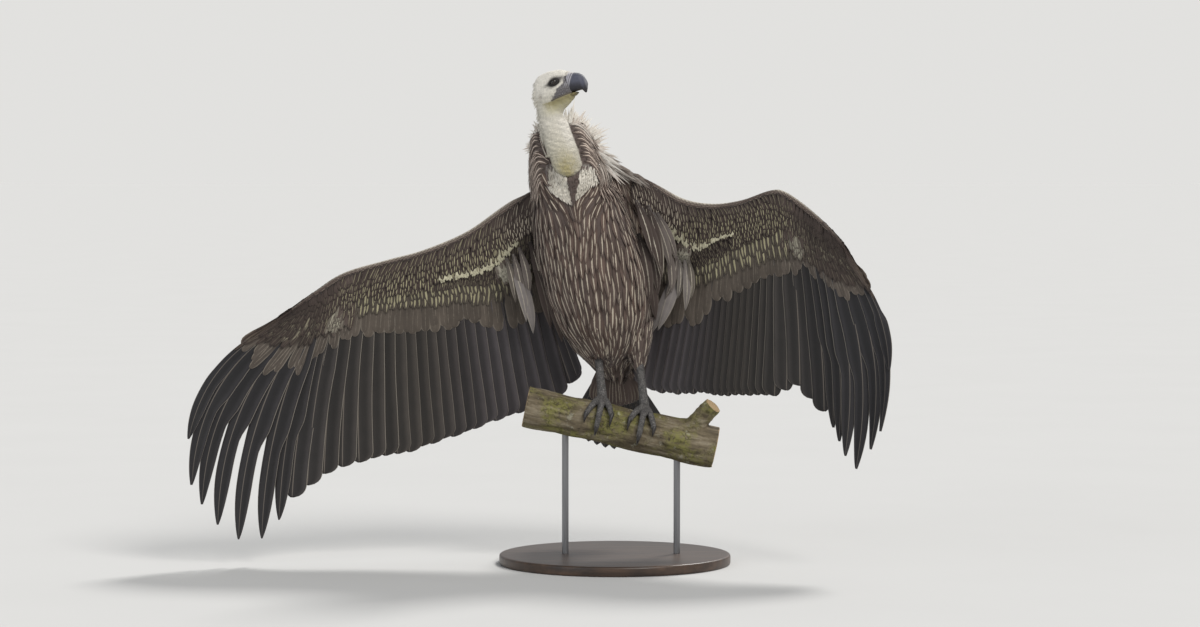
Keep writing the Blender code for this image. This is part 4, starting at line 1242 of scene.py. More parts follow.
def dress_ruff():
    """Long narrow ruff feathers round the neck, with white plumes standing up behind it."""
    rng = np.random.default_rng(17)

    def spacing(points):
        x, y, z = points.T
        zone = (z > 0.925) & (np.abs(x + 0.115) < 0.125) & (bareness(points) < 0.4)
        return np.where(zone & (crop_patch(points)[1] < 0.3), 0.0078, 0)

    def lie(places):
        gap, away = off_neck(places)
        down = ease((gap - 0.004) / 0.040)
        return away * (1.0 - 0.80 * down)[:, None] + np.array([0, 0, 1.0]) * (0.30 - 1.30 * down)[:, None]

    points, normals = scatter(spacing, 24, 0.0078)
    x, y, z = points.T
    length = rng.uniform(0.050, 0.074, len(points))
    path, facing = creep(points, normals, lie, length, PLUME, 0.0, 0.010)
    pale = 0.12 * ease((ripple(points, 50, 41) + 0.2) / 1.2) + 0.85 * ease((z - 1.046) / 0.020)
    pale = np.maximum(pale, 0.9 * ease((x + 0.064) / 0.03) * ease((z - 0.960) / 0.02))
    pale = np.clip(pale * (0.5 + 0.8 * rng.random(len(points))), 0, 1)
    tint = blend((0.080, 0.052, 0.042), (0.66, 0.60, 0.53), pale) * rng.uniform(0.8, 1.2, (len(points), 1))
    mark = abreast(rng.uniform(0.20, 0.30, len(points)), 1 - pale, 0.1 * (1 - pale))
    coat = Coat("ruff_feathers", PLUME)
    width = rng.uniform(0.0046, 0.0062, len(points))
    coat.add(path, facing, width, tint, mark, (0.60, 0.50, 0.42), points[:, [0, 2]])
    coat.build()
    plumes = Coat("ruff_plumes", PLUME)
    for first, last, way_low, way_high, count, short, long, brown in (  # places and lengths in millimetres
        ((-112, -70, 1056), (-66, -52, 1012), (0.10, 0.2, 1.0), (1.0, 0.0, 0.62), 84, 40, 66, 0),
        ((-94, -68, 1040), (-50, -40, 1000), (0.35, 0.3, 1.0), (1.0, 0.3, 0.20), 50, 30, 48, 0),
        ((-172, -75, 1040), (-184, -60, 1000), (-0.6, 0.2, 1.0), (-1.0, 0.1, -0.3), 56, 24, 40, 0),
        ((-165, -40, 1050), (-90, -30, 1050), (-0.3, 1.0, 0.7), (0.5, 1.0, 0.5), 70, 40, 66, 0),
        ((-62, -70, 1010), (-30, -60, 965), (1.0, -0.1, -0.30), (1.0, -0.2, -0.75), 64, 46, 74, 0.25),
        ((-45, -45, 985), (5, -30, 950), (1.0, -0.1, -0.25), (1.0, -0.1, -0.42), 44, 36, 60, 0.75),
        ((-124, -66, 1034), (-100, -62, 1040), (-0.08, 0.1, 1.0), (0.12, 0.1, 1.0), 34, 48, 70, 0),
        ((-10, -32, 960), (48, -6, 935), (1.0, -0.1, -0.40), (1.0, 0.1, -0.50), 40, 30, 50, 0.95),
    ):
        share = np.sort(rng.random(count))
        starts = blend(np.array(first) / MM, np.array(last) / MM, share) + rng.normal(0, 0.004, (count, 3))
        ways = unit(blend(way_low, way_high, share) + rng.normal(0, 0.13, (count, 3)))
        lengths = rng.uniform(short / MM, long / MM, count) * rng.choice([1.0, 0.8], count)
        path = free_path(starts, ways, lengths, PLUME.v, ways * 0.05 - np.array([0, 0, 0.10]))
        facing = unit(np.cross(ways, (0, 0, 1.0)) + (0, -0.8, 0))
        facing = np.broadcast_to(facing[:, None], path.shape)
        tint = blend((0.60, 0.53, 0.47), (0.80, 0.77, 0.71), ease(rng.random(count) * 1.6))
        tint = blend(tint, (0.115, 0.088, 0.074), brown * rng.uniform(0.75, 1.05, count).clip(0, 1))
        plumes.add(path, facing, rng.uniform(0.0026, 0.0042, count), tint, (0.3, 0.2, 0.0), (0.5, 0.42, 0.36),
                   starts[:, [0, 2]])
    plumes.build("down")


# ---- wings ----

def reach_back(side, s):
    """From the wing's front edge to the roots of the flight feathers."""
    return np.linalg.norm(ROOTS[side](s) - EDGE[side](s), axis=-1)


def covert_paths(side, face, s, depth, length, slant, v, base, lift):
    """Feathers that lie on the wing, from a root at (s, depth) back and outwards."""
    v = v[None, :]
    s, depth, length, slant = (np.asarray(x, float)[:, None] for x in (s, depth, length, slant))
    stretch = np.linalg.norm(wing_face(side, s[:, 0], depth[:, 0], face)[2], axis=-1)[:, None]
    curl = v - 0.15 * v * v
    places = s + slant * length * curl / stretch
    depths = depth + length * np.sqrt(np.maximum(v * v - (slant * curl) ** 2, 0))
    point, normal, _ = wing_face(side, places, depths, face)
    height = base + lift * v**1.3
    return point + normal * height[..., None], normal, abreast(s[:, 0], depth[:, 0])


class WingCoat(Coat):
    """A coat of coverts on one face of a wing, laid row by row."""

    def __init__(self, name, blade, side, face, rng):
        super().__init__(f"{name}_{side}", blade)
        self.side, self.face, self.rng = side, face, rng

    def row(self, s, depth, length, width, slant, tint, mark, mark_tint, base=0.001, lift=0.006):
        """One row of coverts; every value may change along the row."""
        count, rng = len(s), self.rng
        if not count:
            return
        s = s + rng.normal(0, 0.10, count)
        depth = depth + rng.normal(0, 0.0012, count)
        length = length * rng.uniform(0.9, 1.1, count)
        slant = slant + rng.normal(0, 0.05, count)
        path, normal, at = covert_paths(
            self.side, self.face, s, depth, length, slant, self.blade.v, base, lift)
        tint = np.asarray(tint) * rng.uniform(0.82, 1.18, (count, 1))
        mark = np.asarray(mark) * rng.uniform(0.8, 1.15, (count, 1))
        cream = np.asarray(mark_tint) * rng.uniform(0.82, 1.12, (count, 1))
        self.add(path, normal, width * rng.uniform(0.9, 1.1, count), tint, mark, cream, at)


def spaced(side, first, last, gap, depth=0.05):
    """Places from first to last, this far apart on the wing."""
    s = np.linspace(first, last, 200)
    point = wing_middle(side, s, np.full(200, depth))[0]
    run = np.concatenate([[0], np.cumsum(np.linalg.norm(np.diff(point, axis=0), axis=1))])
    return np.interp(np.arange(gap / 2, run[-1], gap), run, s)


BAR = both_wings([  # depths behind the wing's front edge, by place along it
    (0, 60), (2, 80), (4, 93), (7, 85), (10.5, 85),
], [
    (0, 75), (3.3, 82), (9, 78),
])
MEDIAN_START = both_wings([
    (-4, 155), (4.6, 150), (7.3, 143), (12.3, 118), (17.4, 96), (20, 58), (30, 50),
], [
    (-4, 145), (3.9, 130), (6.8, 104), (9.4, 94), (12.1, 88), (20, 58), (30, 50),
])
MEDIAN_END = both_wings([
    (-4, 235), (5.9, 214), (10, 196), (16, 184), (19.8, 152), (22, 115), (30, 85),
], [
    (-4, 200), (5.2, 188), (7.6, 158), (16.1, 120), (20, 118), (25, 130), (30, 85),
])
GREATER_END = both_wings([
    (-4, 320), (5.2, 300), (10.3, 248), (14.8, 224), (17.9, 204), (20, 176), (21.6, 152), (23, 158),
    (24, 168), (25.9, 174), (27.5, 162), (29.8, 100),
], [
    (-4, 280), (4.4, 256), (6.6, 218), (9, 202), (16.5, 176), (18.1, 166), (20.4, 162), (22.2, 202),
    (25, 214), (26.8, 196), (30, 120),
])
FLIGHT_TINT = curve([  # darkest on the outer primaries
    (-1, 56, 49, 53), (5, 50, 44, 47), (8, 37, 32, 33), (13, 35, 30, 26), (20, 33, 29, 27),
    (23, 22, 20, 21), (30, 20, 19, 22),
], MM)
EDGE_FEATHER = 0.021


def dress_under_wing(side):
    """Under side: small streaked coverts, a white bar, a dark band, then the longer coverts."""
    rng = np.random.default_rng(31 if side == "left" else 37)
    dark, grey = BROWN * 0.52, np.array([0.078, 0.064, 0.052])
    bar, start, middle_end, end = (depths[side] for depths in (BAR, MEDIAN_START, MEDIAN_END, GREATER_END))
    greater = WingCoat("under_coverts_large", GREATER, side, 1, rng)
    median = WingCoat("under_coverts_middle", COVERT, side, 1, rng)
    small = WingCoat("under_coverts_small", SMALL_COVERT, side, 1, rng)
    s = np.concatenate([np.arange(-2.4, 18.4, 0.60), np.arange(18.6, LAST + 0.2, 0.42)])
    hand = ease((s - 17.5) / 2)
    tip = blend(grey * 1.10, (0.090, 0.074, 0.062), hand)
    mark = abreast(0.05 + 0.05 * hand, 0.35 + 0.15 * hand, 0.50 + 0.2 * hand)
    greater.row(s, start(s), end(s) - start(s), 0.0138 - 0.0044 * hand, 0.06, tip, mark,
            (0.24, 0.21, 0.17), 0.001, 0.003)
    # middle coverts in two rows, with broad pale streaks
    for step, gap, ended in ((0.000, 0.0108, 1.0), (-0.014, 0.0098, 0.62)):
        s = spaced(side, -2.5, 29.0, gap, 0.08)
        hand = ease((s - 19) / 2.5)
        cream = blend((0.40, 0.36, 0.28), OLIVE_CREAM, ease(s / 4) * (1 - 0.45 * hand))
        mark = abreast(0.25, 0.86 - 0.40 * hand, 0.10)
        length = (middle_end(s) - start(s)) * ended - step
        median.row(s, start(s) + step, length, 0.0080, 0.24 - 0.12 * hand, grey * 0.85, mark,
                cream, 0.003, 0.0035)
    # small coverts over the hand
    rows = (0.074, 0.066), (0.056, 0.060), (0.040, 0.052), (0.027, 0.044), (0.015, 0.034), (0.006, 0.024)
    for depth, length in rows:
        s = spaced(side, 19.0, 29.6, 0.0092, 0.03)
        inner = ease((24.5 - s) / 4.5)
        mark = abreast(0.15, (0.18 + 0.60 * inner) * ease(depth / 0.03), 0.05)
        small.row(s, depth, length, 0.0060, 0.10, dark * (0.85 + 0.35 * inner[:, None]), mark,
                (0.34, 0.31, 0.21), 0.004, 0.0035)
    # dark band between the white bar and the middle coverts
    for n in range(5):
        s = spaced(side, -3.0, 20.0, 0.0076, 0.07)
        depth = start(s) - 0.012 - 0.0125 * n
        s, depth = s[depth > bar(s) + 0.002], depth[depth > bar(s) + 0.002]
        mark = np.tile([0.13, 0.50, 0.05], (len(s), 1))
        small.row(s, depth, 0.030, 0.0043, 0.62, dark * 0.85, mark, OLIVE_CREAM, 0.0035, 0.0035)
    # small streaked coverts, row by row from the front edge to the bar
    for n in range(10):
        s = spaced(side, -6.0, 20.5, 0.0082, 0.03)
        depth = np.full(len(s), 0.004 + 0.0122 * n)
        limit = np.where(s < 10.5, bar(s) - 0.014, start(s) - 0.016)
        s, depth = s[depth < limit], depth[depth < limit]
        deep = ease((depth - 0.002) / 0.036)
        cream = blend(CREAM, OLIVE_CREAM, ease((s + 1) / 4)) * (0.80 + 0.20 * deep[:, None])
        mark = abreast(0.16 + 0.04 * deep, 0.62 + 0.36 * deep, 0.03)
        slant = (0.80 - 0.42 * deep) * (1 - 0.40 * ease((s - 14) / 6))
        small.row(s, depth, 0.034, 0.0053, slant, dark, mark, cream, 0.0040, 0.0035)
    # the white bar, thickest near the body
    for n in range(4):
        s = spaced(side, 0.0, 10.6 if side == "left" else 9.6, 0.0046, 0.07)
        thick = 0.35 + 0.65 * hump(s, 3.6, 6.0)
        small.row(s, bar(s) - 0.015 + 0.0050 * n * thick, 0.011 + 0.015 * thick, 0.0031, 0.38,
                (0.50, 0.47, 0.34), (0.4, 0.0, 0.5), (0.30, 0.27, 0.19), 0.0040 + 0.0004 * n, 0.003)
    # soft pale patches at the armpit and at the wrist
    for s0, depth0, wide, deep, count, pale, streak, length in (
        (2.9, 0.114, 0.75, 0.019, 84, (0.56, 0.53, 0.43), 0.1, 0.027),
        (21.0, 0.088, 0.85, 0.018, 34, (0.150, 0.136, 0.108), 1.0, 0.038),
    ):
        off = np.clip(rng.normal(0, 0.6, (count, 2)), -1.4, 1.4)
        fade = ease(1.45 - 0.95 * np.linalg.norm(off, axis=1))
        tint = blend(dark * 1.6, pale, fade * rng.uniform(0.5, 1.0, count))
        mark = abreast(0.3, streak * fade, 0.3)
        small.row(s0 + off[:, 0] * wide, depth0 + off[:, 1] * deep, length, 0.135 * length, 0.15,
                tint, mark, (0.34, 0.32, 0.25), 0.0054, 0.0035)
    for coat in (small, median, greater):
        coat.build()


def dress_edge(side):
    """Tiny smooth feathers round the wing's front edge, along it towards the tip."""
    rng = np.random.default_rng(45 if side == "left" else 47)
    coat = Coat(f"wing_edge_{side}", SMALL_COVERT)
    for n, turn in enumerate(np.radians([-110, -84, -58, -32, -8, 14, 38, 64, 92, 116])):
        s = spaced(side, -5.5, 29.4, 0.0100, 0.004)
        s = s + (n % 2) * 0.3 + rng.normal(0, 0.04, len(s))
        stretch = np.linalg.norm(EDGE[side](s + STEP) - EDGE[side](s - STEP), axis=-1) / (2 * STEP)
        places = np.minimum(s[:, None] + EDGE_FEATHER * SMALL_COVERT.v[None] / stretch[:, None], LAST)
        edge = EDGE[side](places)
        back = unit(wing_middle(side, places, np.full(places.shape, 0.012))[0] - edge)
        _, under, _ = wing_face(side, places, np.full(places.shape, 0.008), 1)
        around = under * math.sin(turn) - back * math.cos(turn)
        size = THICKNESS(places) * 0.16 + 0.0022 + 0.0008 * SMALL_COVERT.v[None]
        size = size * (0.25 + 0.75 * ease((places + 5.5) / 4.5))
        path = edge + back * 0.005 + around * size[..., None]
        # painted light: the feathers facing straight forward on the edge are painted pale, a rim of light
        # along the wing's front edge
        pale = math.exp(-((math.degrees(turn) + 6) / 34) ** 2)
        pale = pale * (1 - 0.75 * ease((s - 22) / 7)) * ease((s + 4.5) / 4)
        tint = blend(BROWN * 0.85, (0.46, 0.42, 0.345), pale) * rng.uniform(0.85, 1.12, (len(s), 1))
        mark = abreast(0.18, 0.4 * (1 - pale), 0)
        coat.add(path, around, np.full(len(s), 0.0034), tint, mark, CREAM, abreast(s, n))
    coat.build()
    # longer feathers carry the edge on over the root of the outermost primary
    tip = Coat(f"wing_tip_coverts_{side}", COVERT)
    t = COVERT.v[:, None]
    rows = (25.6, 0.10, 0.0062), (27.2, 0.17, 0.0058), (28.6, 0.25, 0.0052), (29.5, 0.34, 0.0044)
    for first, reach, size in rows:
        start, end = EDGE[side](first), feather_at(side, LAST + 0.1, reach)
        knee = EDGE[side](LAST) * 0.6 + feather_at(side, LAST + 0.1, 0.05) * 0.4
        line = start * (1 - t) ** 2 + 2 * knee * t * (1 - t) + end * t**2
        back = unit(feather_at(side, 28.5, 0.2) - EDGE[side](LAST))
        _, under, _ = wing_face(side, np.array(first), np.array(0.010), 1)
        for turn in np.radians([-105, -70, -38, -10, 18, 46, 78, 110]):
            around = under * math.sin(turn) - back * math.cos(turn)
            path = line + back * 0.004 + around * (size * (1 - 0.55 * t)) + rng.normal(0, 0.0003, 3)
            tint = BROWN * rng.uniform(0.60, 0.90)
            tip.add(path[None], np.broadcast_to(around, path.shape)[None], np.array([0.0058]), tint,
                    (0.10, 0.5, 0.5), (0.27, 0.22, 0.17), (first, turn))
    tip.build()


def dress_upper_wing(side):
    """Upper side: brown coverts with paler rims, in rows that grow towards the flight feathers."""
    rng = np.random.default_rng(41 if side == "left" else 43)
    greater = WingCoat("upper_coverts_large", GREATER, side, -1, rng)
    buff = (0.27, 0.22, 0.165)
    s = np.arange(-4.0, LAST + 0.2, 0.58)
    back = reach_back(side, s)
    greater.row(s, back + 0.004, (GREATER_END[side](s) - back) * 1.1, 0.0150, 0.05, BROWN * 0.62,
            (0.05, 0.3, 0.65), buff, 0.0015, 0.004)
    coat = WingCoat("upper_coverts_middle", COVERT, side, -1, rng)
    for step, length in ((0.020, 0.070), (-0.004, 0.062), (-0.022, 0.052)):
        s = spaced(side, -6.0, 29.4, 0.0150, 0.07)
        depth = np.maximum(0.010 + 0.006 * ease((s - 22) / 5), reach_back(side, s) + step)
        coat.row(s, depth, length, 0.0120 - 0.0035 * ease((s - 22) / 5), 0.12,
                BROWN * 0.95, (0.08, 0.5, 0.75), (0.37, 0.30, 0.225), 0.003, 0.004)
    small = WingCoat("upper_coverts_small", SMALL_COVERT, side, -1, rng)
    for n in range(12):
        s = spaced(side, -6.0, 29.4, 0.0112, 0.03)
        depth = 0.012 + 0.0150 * n
        s = s[depth < np.maximum(0.016, reach_back(side, s) - 0.018)]
        small.row(s, depth, 0.036, 0.0080, 0.30, BROWN * 1.05,
                (0.10, 0.5, 0.6), (0.39, 0.32, 0.245), 0.0025, 0.004)
    for made in (greater, coat, small):
        made.build()


class Vanes:
    """Large feathers, each its own closed sheet with a rib along its shaft."""

    def __init__(self, name, columns, run):
        self.name, self.columns, self.run = name, columns, run
        self.points, self.tints, self.rims = [], [], []

    def add(self, middle, thickness, tint, rim):
        rows = np.gradient(middle, axis=0)
        columns = np.gradient(middle, axis=1)
        normal = unit(np.cross(columns, rows))
        half = thickness[..., None] / 2
        self.points.append(np.stack([middle + normal * half, middle - normal * half]))
        self.tints.append(tint)
        self.rims.append(rim)

    def build(self, *nodes):
        rows, columns = len(self.run), len(self.columns)
        top, low = np.arange(2 * rows * columns).reshape(2, rows, columns)
        faces = np.concatenate([np.stack(corners, -1).reshape(-1, 4) for corners in (
            (top[:-1, :-1], top[:-1, 1:], top[1:, 1:], top[1:, :-1]),
            (low[:-1, :-1], low[1:, :-1], low[1:, 1:], low[:-1, 1:]),
            (top[:-1, 0], top[1:, 0], low[1:, 0], low[:-1, 0]),
            (top[:-1, -1], low[:-1, -1], low[1:, -1], top[1:, -1]),
            (top[0, :-1], low[0, :-1], low[0, 1:], top[0, 1:]),
            (top[-1, :-1], top[-1, 1:], low[-1, 1:], low[-1, :-1]),
        )])
        count, size = len(self.points), 2 * rows * columns
        corners = (faces[None] + (np.arange(count) * size)[:, None, None]).reshape(-1)
        local = corners % size
        u = np.tile((self.columns + 1) / 2, 2 * rows)[local]
        v = np.tile(np.repeat(self.run, columns), 2)[local]
        strip = (corners // size + 0.05 + 0.42 * u + 0.48 * (local >= rows * columns)) / count
        marks = np.array(self.rims)[:, None] * (0, 0, 1.0)
        paint = np.array(self.tints), marks, np.tile([0.30, 0.27, 0.23], (count, 1))
        feather_piece(self.name, "flight_feather", nodes, np.stack(self.points).reshape(-1, 3), corners,
                      np.full(count * len(faces), 4), abreast(u, v),
                      abreast(strip, 0.01 + 0.98 * v), paint)


def dress_flight(side):
    """Twenty secondaries and ten primaries, each overlapping the next like a blind's slats."""
    rng = np.random.default_rng(51 if side == "left" else 53)
    columns, rows = np.array([-1, -0.8, -0.52, -0.2, 0, 0.2, 0.6, 1.0]), 34
    run = 1 - np.linspace(1, 0, rows) ** 1.35
    vanes = Vanes(f"flight_feathers_{side}", columns, run)
    for number in range(-1, LAST):
        middle = number + 0.5
        finger = number >= SECONDARIES + 3
        end = OUTERMOST_END[side] if number == LAST - 1 else 1.0 - rng.uniform(0, 0.016)
        t = 0.06 + (end - 0.06) * run
        line = feather_at(side, middle, t)
        along = unit(np.gradient(line, axis=0))
        outward = feather_at(side, middle + 0.2, t) - feather_at(side, middle - 0.2, t)
        outward = outward - along * (outward * along).sum(1, keepdims=True)
        space = np.linalg.norm(outward, axis=1) / 0.4
        outward = unit(outward)
        under = unit(np.cross(along, outward)) * SIGN[side]
        inner, outer = np.minimum(0.035, 1.35 * space), np.minimum(0.017, 0.62 * space)
        if finger:
            narrow = ease((run - 0.50) / 0.13)
            slim = 0.84 if number == LAST - 1 else 1.0
            inner = (inner * (1 - narrow) + 0.0225 * narrow) * slim
            outer = (outer * (1 - narrow) + 0.0155 * narrow) * slim
            rounding = np.maximum(0, 1 - np.maximum(0, (run - 0.76) / 0.242) ** 1.9) ** 0.75
        else:
            rounding = np.sqrt(np.maximum(0, 1 - np.maximum(0, (run - 0.935) / 0.0655) ** 2))
        rounding = np.maximum(rounding, 0.05) * (0.35 + 0.65 * ease(run / 0.08))
        shift = np.where(columns < 0, inner[:, None] * columns, outer[:, None] * columns)
        shift = shift * rounding[:, None] * (1 + 0.02 * np.sin(9 * run + number * 2.4))[:, None]
        tilt = 0.0038 * ease(run / 0.15) * (1 - 0.35 * run)
        lift = -columns[None] * tilt[:, None] + 0.0012 * (1 - np.abs(columns))
        points = line[:, None] + outward[:, None] * shift[..., None] + under[:, None] * lift[..., None]
        thick = np.where(np.abs(columns) < 0.05, 0.0026 - 0.0016 * run[:, None], 0.0009)
        tint = FLIGHT_TINT(number) * rng.uniform(0.82, 1.2)
        vanes.add(points, thick, tint, 0.85 if number > 15 else 0.40)
    names = [f"wing_{side}_secondaries", f"wing_{side}_inner_primaries"]
    names += [f"wing_{side}_primary_{number}" for number in range(4, PRIMARIES + 1)]
    vanes.build(*names)


def dress_tail():
    """Twelve tail feathers in a fan, with coverts over their roots."""
    rng = np.random.default_rng(57)
    columns, run = np.array([-1, -0.6, -0.15, 0, 0.15, 0.6, 1.0]), np.linspace(0, 1, 22)
    vanes = Vanes("tail_feathers", columns, run)
    for number in range(TAIL_FEATHERS):
        s = 2 * (number + 0.5) / TAIL_FEATHERS - 1
        end = 1 - rng.uniform(0, 0.03)
        rounding = np.sqrt(np.maximum(0, 1 - np.maximum(0, (run - 0.86) / 0.142) ** 2))
        rounding = np.maximum(rounding, 0.06) * (0.4 + 0.6 * ease(run / 0.15))
        shift = columns[None] * (1.55 / TAIL_FEATHERS) * rounding[:, None]
        middle = tail_at(np.clip(s + shift, -1.1, 1.1), run[:, None] * end + 0 * shift)
        away = np.abs(s) * 0.004 * run[:, None] + 0.0025 * columns[None] * np.sign(s) * run[:, None]
        middle = middle + TAIL_BACK * away[..., None]
        thick = np.where(np.abs(columns) < 0.05, 0.0028 - 0.0016 * run[:, None], 0.0010)
        vanes.add(middle, thick, np.array([0.031, 0.027, 0.028]) * rng.uniform(0.85, 1.15), 0.5)
    vanes.build("tail")
    for name, face in (("tail_coverts_upper", -1), ("tail_coverts_under", 1)):
        coat = Coat(name, COVERT)
        for start, length, count in ((0.10, 0.105, 15), (0.0, 0.095, 13), (-0.12, 0.085, 11)):
            s = np.linspace(-0.9, 0.9, count) + rng.normal(0, 0.02, count)
            v = COVERT.v
            place = tail_at(s[:, None] * (1 - 0.15 * v), start + length / TAIL_LENGTH * v)
            normal = np.broadcast_to(TAIL_BACK * -face, place.shape)
            height = 0.010 - 0.004 * v[None, :, None] + 0.002 * (1 if start < 0 else 0)
            coat.add(place + normal * height, normal, np.full(count, 0.013), BROWN * 0.9,
                     (0.10, 0.45, 0.4), CREAM, abreast(s, start))
        coat.build()


def long_feather(coat, root, tip, bow, width, tint, mark, mark_tint, facing):
    """One feather laid between two given points, bowed by a vector."""
    v = coat.blade.v[:, None]
    root, tip, bow = (np.array(p, float) for p in (root, tip, bow))
    path = root + (tip - root) * v + bow * (4 * v * (1 - v))
    normal = np.broadcast_to(unit(np.array(facing, float)), path.shape)
    coat.add(path[None], normal[None], np.array([width]), tint, mark, mark_tint, root[[0, 2]])


def dress_armpits():
    """Long plain feathers between the body and each wing, some with pale grey ends."""
    coat = Coat("armpit_feathers", TERTIAL)
    dark, grey, brown = BROWN * 0.55, (0.200, 0.180, 0.172), (0.125, 0.105, 0.095)
    rng = np.random.default_rng(61)
    rows = (  # root, tip, half width in millimetres, tint, rim, streak
        (50, -52, 880, 90, -52, 745, 11.5, dark, 0.1, 0.9),
        (62, -48, 862, 108, -42, 712, 12, dark, 0.2, 0.9),
        (78, -40, 868, 112, -30, 690, 12.5, dark, 0.9, 0.7),
        (90, -24, 850, 134, -12, 715, 11.5, brown, 0.2, 0.7),
        (100, -16, 850, 148, 0, 735, 10.5, brown, 0.2, 0.7),
        (70, -30, 815, 104, -8, 650, 13, dark, 0.2, 0.3),
        (56, -36, 800, 84, -16, 630, 13, dark, 0.1, 0.5),
        (64, -18, 760, 98, 12, 590, 14, dark, 0.1, 0.1),
        (58, -14, 720, 80, 30, 545, 14, dark, 0.1, 0.1),
        (50, -10, 690, 60, 36, 500, 14, dark, 0.1, 0.2),
        (124, 4, 770, 136, 10, 655, 10, brown, 0.2, 0.8),
        (150, 6, 745, 122, 22, 640, 8.5, brown, 0.3, 0.9),
        (158, 16, 725, 104, 46, 562, 12.5, grey, 0.5, 0.1),
        (140, 20, 700, 80, 58, 545, 12, (0.165, 0.148, 0.142), 0.3, 0.1),
        (156, 4, 735, 152, 22, 642, 8, (0.150, 0.132, 0.118), 0.6, 0.9),
        (168, 4, 735, 170, 22, 612, 10, (0.170, 0.150, 0.138), 0.6, 0.7),
        (178, 2, 735, 184, 18, 640, 8.5, (0.120, 0.104, 0.086), 0.4, 0.9),
        (-232, 0, 765, -208, 10, 648, 10, brown, 0.2, 0.9),
        (-246, -2, 750, -222, 10, 628, 10, brown, 0.3, 0.9),
        (-262, -2, 740, -240, 12, 632, 9.5, (0.110, 0.094, 0.080), 0.3, 0.9),
        (-250, 2, 725, -214, 18, 585, 11, grey, 0.6, 0.6),
        (-236, 6, 715, -198, 28, 556, 12, grey, 0.5, 0.1),
        (-206, 0, 780, -176, 10, 640, 12, dark, 0.2, 0.8),
        (-196, -6, 730, -156, 20, 570, 14, dark, 0.1, 0.2),
        (-192, -14, 800, -158, -2, 650, 12, dark, 0.1, 0.9),
        (-176, -10, 700, -128, 36, 535, 14, dark, 0.1, 0.1),
    )
    for *places, tint, rim, streak in rows:
        places = np.array(places) / MM
        bow = np.array([0.006, -0.010, 0.0]) * rng.uniform(0.7, 1.2)
        long_feather(coat, places[:3], places[3:6], bow, places[6], tint, (0.11, streak, rim),
                     (0.42, 0.38, 0.31), (0.1, -1, 0.05))
    coat.build()
    back = Coat("shoulder_feathers", GREATER)
    for side in SIGN:
        way = unit(np.array([-0.16 * SIGN[side], 0.26, -1.0]))
        rows = (0.016, 0.085), (0.045, 0.110), (0.080, 0.130), (0.115, 0.150)
        for row, (depth, length) in enumerate(rows):
            for s in np.arange(-7.5, 1.5, 0.9):
                point, normal, _ = wing_face(side, s, depth, -1)
                start = point + normal * (0.009 - 0.002 * row)
                tip = start + way * length * (1 - 0.40 * ease((s + 4) / 5.5)) * rng.uniform(0.85, 1.12)
                long_feather(back, start, tip, (0, 0.010, 0), 0.015, BROWN * rng.uniform(0.75, 1.05),
                             (0.07, 0.5, 0.7), (0.36, 0.30, 0.23), (0.1 * SIGN[side], 1, 0.15))
    back.build()


# ---- bill, eyes, legs ----

def make_bill():
    """Both halves of the bill, with a blunt ridge on top and a deep hook."""
    for name, sections, square, rings in (
        ("bill_upper", UPPER_BILL, 0.80, 96), ("bill_lower", LOWER_BILL, 0.9, 30),
    ):
        bm = bmesh.new()
        ring_solid(bm, head_rings(sections, 48, rings, square))
        piece = piece_of(name, bm)
        mesh = piece.data
        places = vertex_places(mesh)
        a, r, u = head_place(places).T
        top, under = curve(sections[:, [0, 1]])(a), curve(sections[:, [0, 2]])(a)
        share = (top - u) / np.maximum(top - under, 1e-4)
        grain = ripple(places, 700, 5) * 0.5
        # painted shade: the horn is painted darker towards its lower edge
        tint = blend((0.072, 0.076, 0.106), (0.024, 0.024, 0.031), ease((share - 0.38) / 0.45))
        # painted highlight: a pale glint along the culmen and down the front of the hook
        ridge = ease((0.13 - share) / 0.10) + ease((a - 0.0690) / 0.004) * ease((-0.004 - u) / 0.006)
        tint = blend(tint, (0.165, 0.168, 0.185), 0.75 * np.clip(ridge, 0, 1))
        soft_skin = 1 - ease((a - HORN_START - HORN_SLANT * u) / 0.002)
        tint = blend(tint, (0.078, 0.073, 0.084), soft_skin)
        tint = blend(tint, (0.52, 0.49, 0.43), soft_skin * ease((LORE_EDGE(u) - a + 0.002) / 0.004))
        # painted highlight: pale sheen along the folds
        tint = blend(tint, (0.46, 0.45, 0.49), 0.95 * creases(a, u))
        tint = blend(tint, (0.022, 0.020, 0.022), 0.8 * ease((-0.030 - u) / 0.008) * (a > 0.058))
        # painted shade: near black along the lower edge of the upper bill, in the crease of the closed mouth
        tint = blend(tint, (0.018, 0.014, 0.012), 0.9 * ease((share - 0.93) / 0.05) * (a < 0.062))
        if name == "bill_lower":
            tint = blend((0.160, 0.135, 0.062), (0.060, 0.052, 0.036), ease((a - 0.038) / 0.010))
            soft_skin = 0 * a
        write(mesh, "tint", tint * (1 + 0.12 * grain[:, None]))
        write(mesh, "mark", abreast(soft_skin, 0, 0))
        show(piece, "horn", HORN, name)


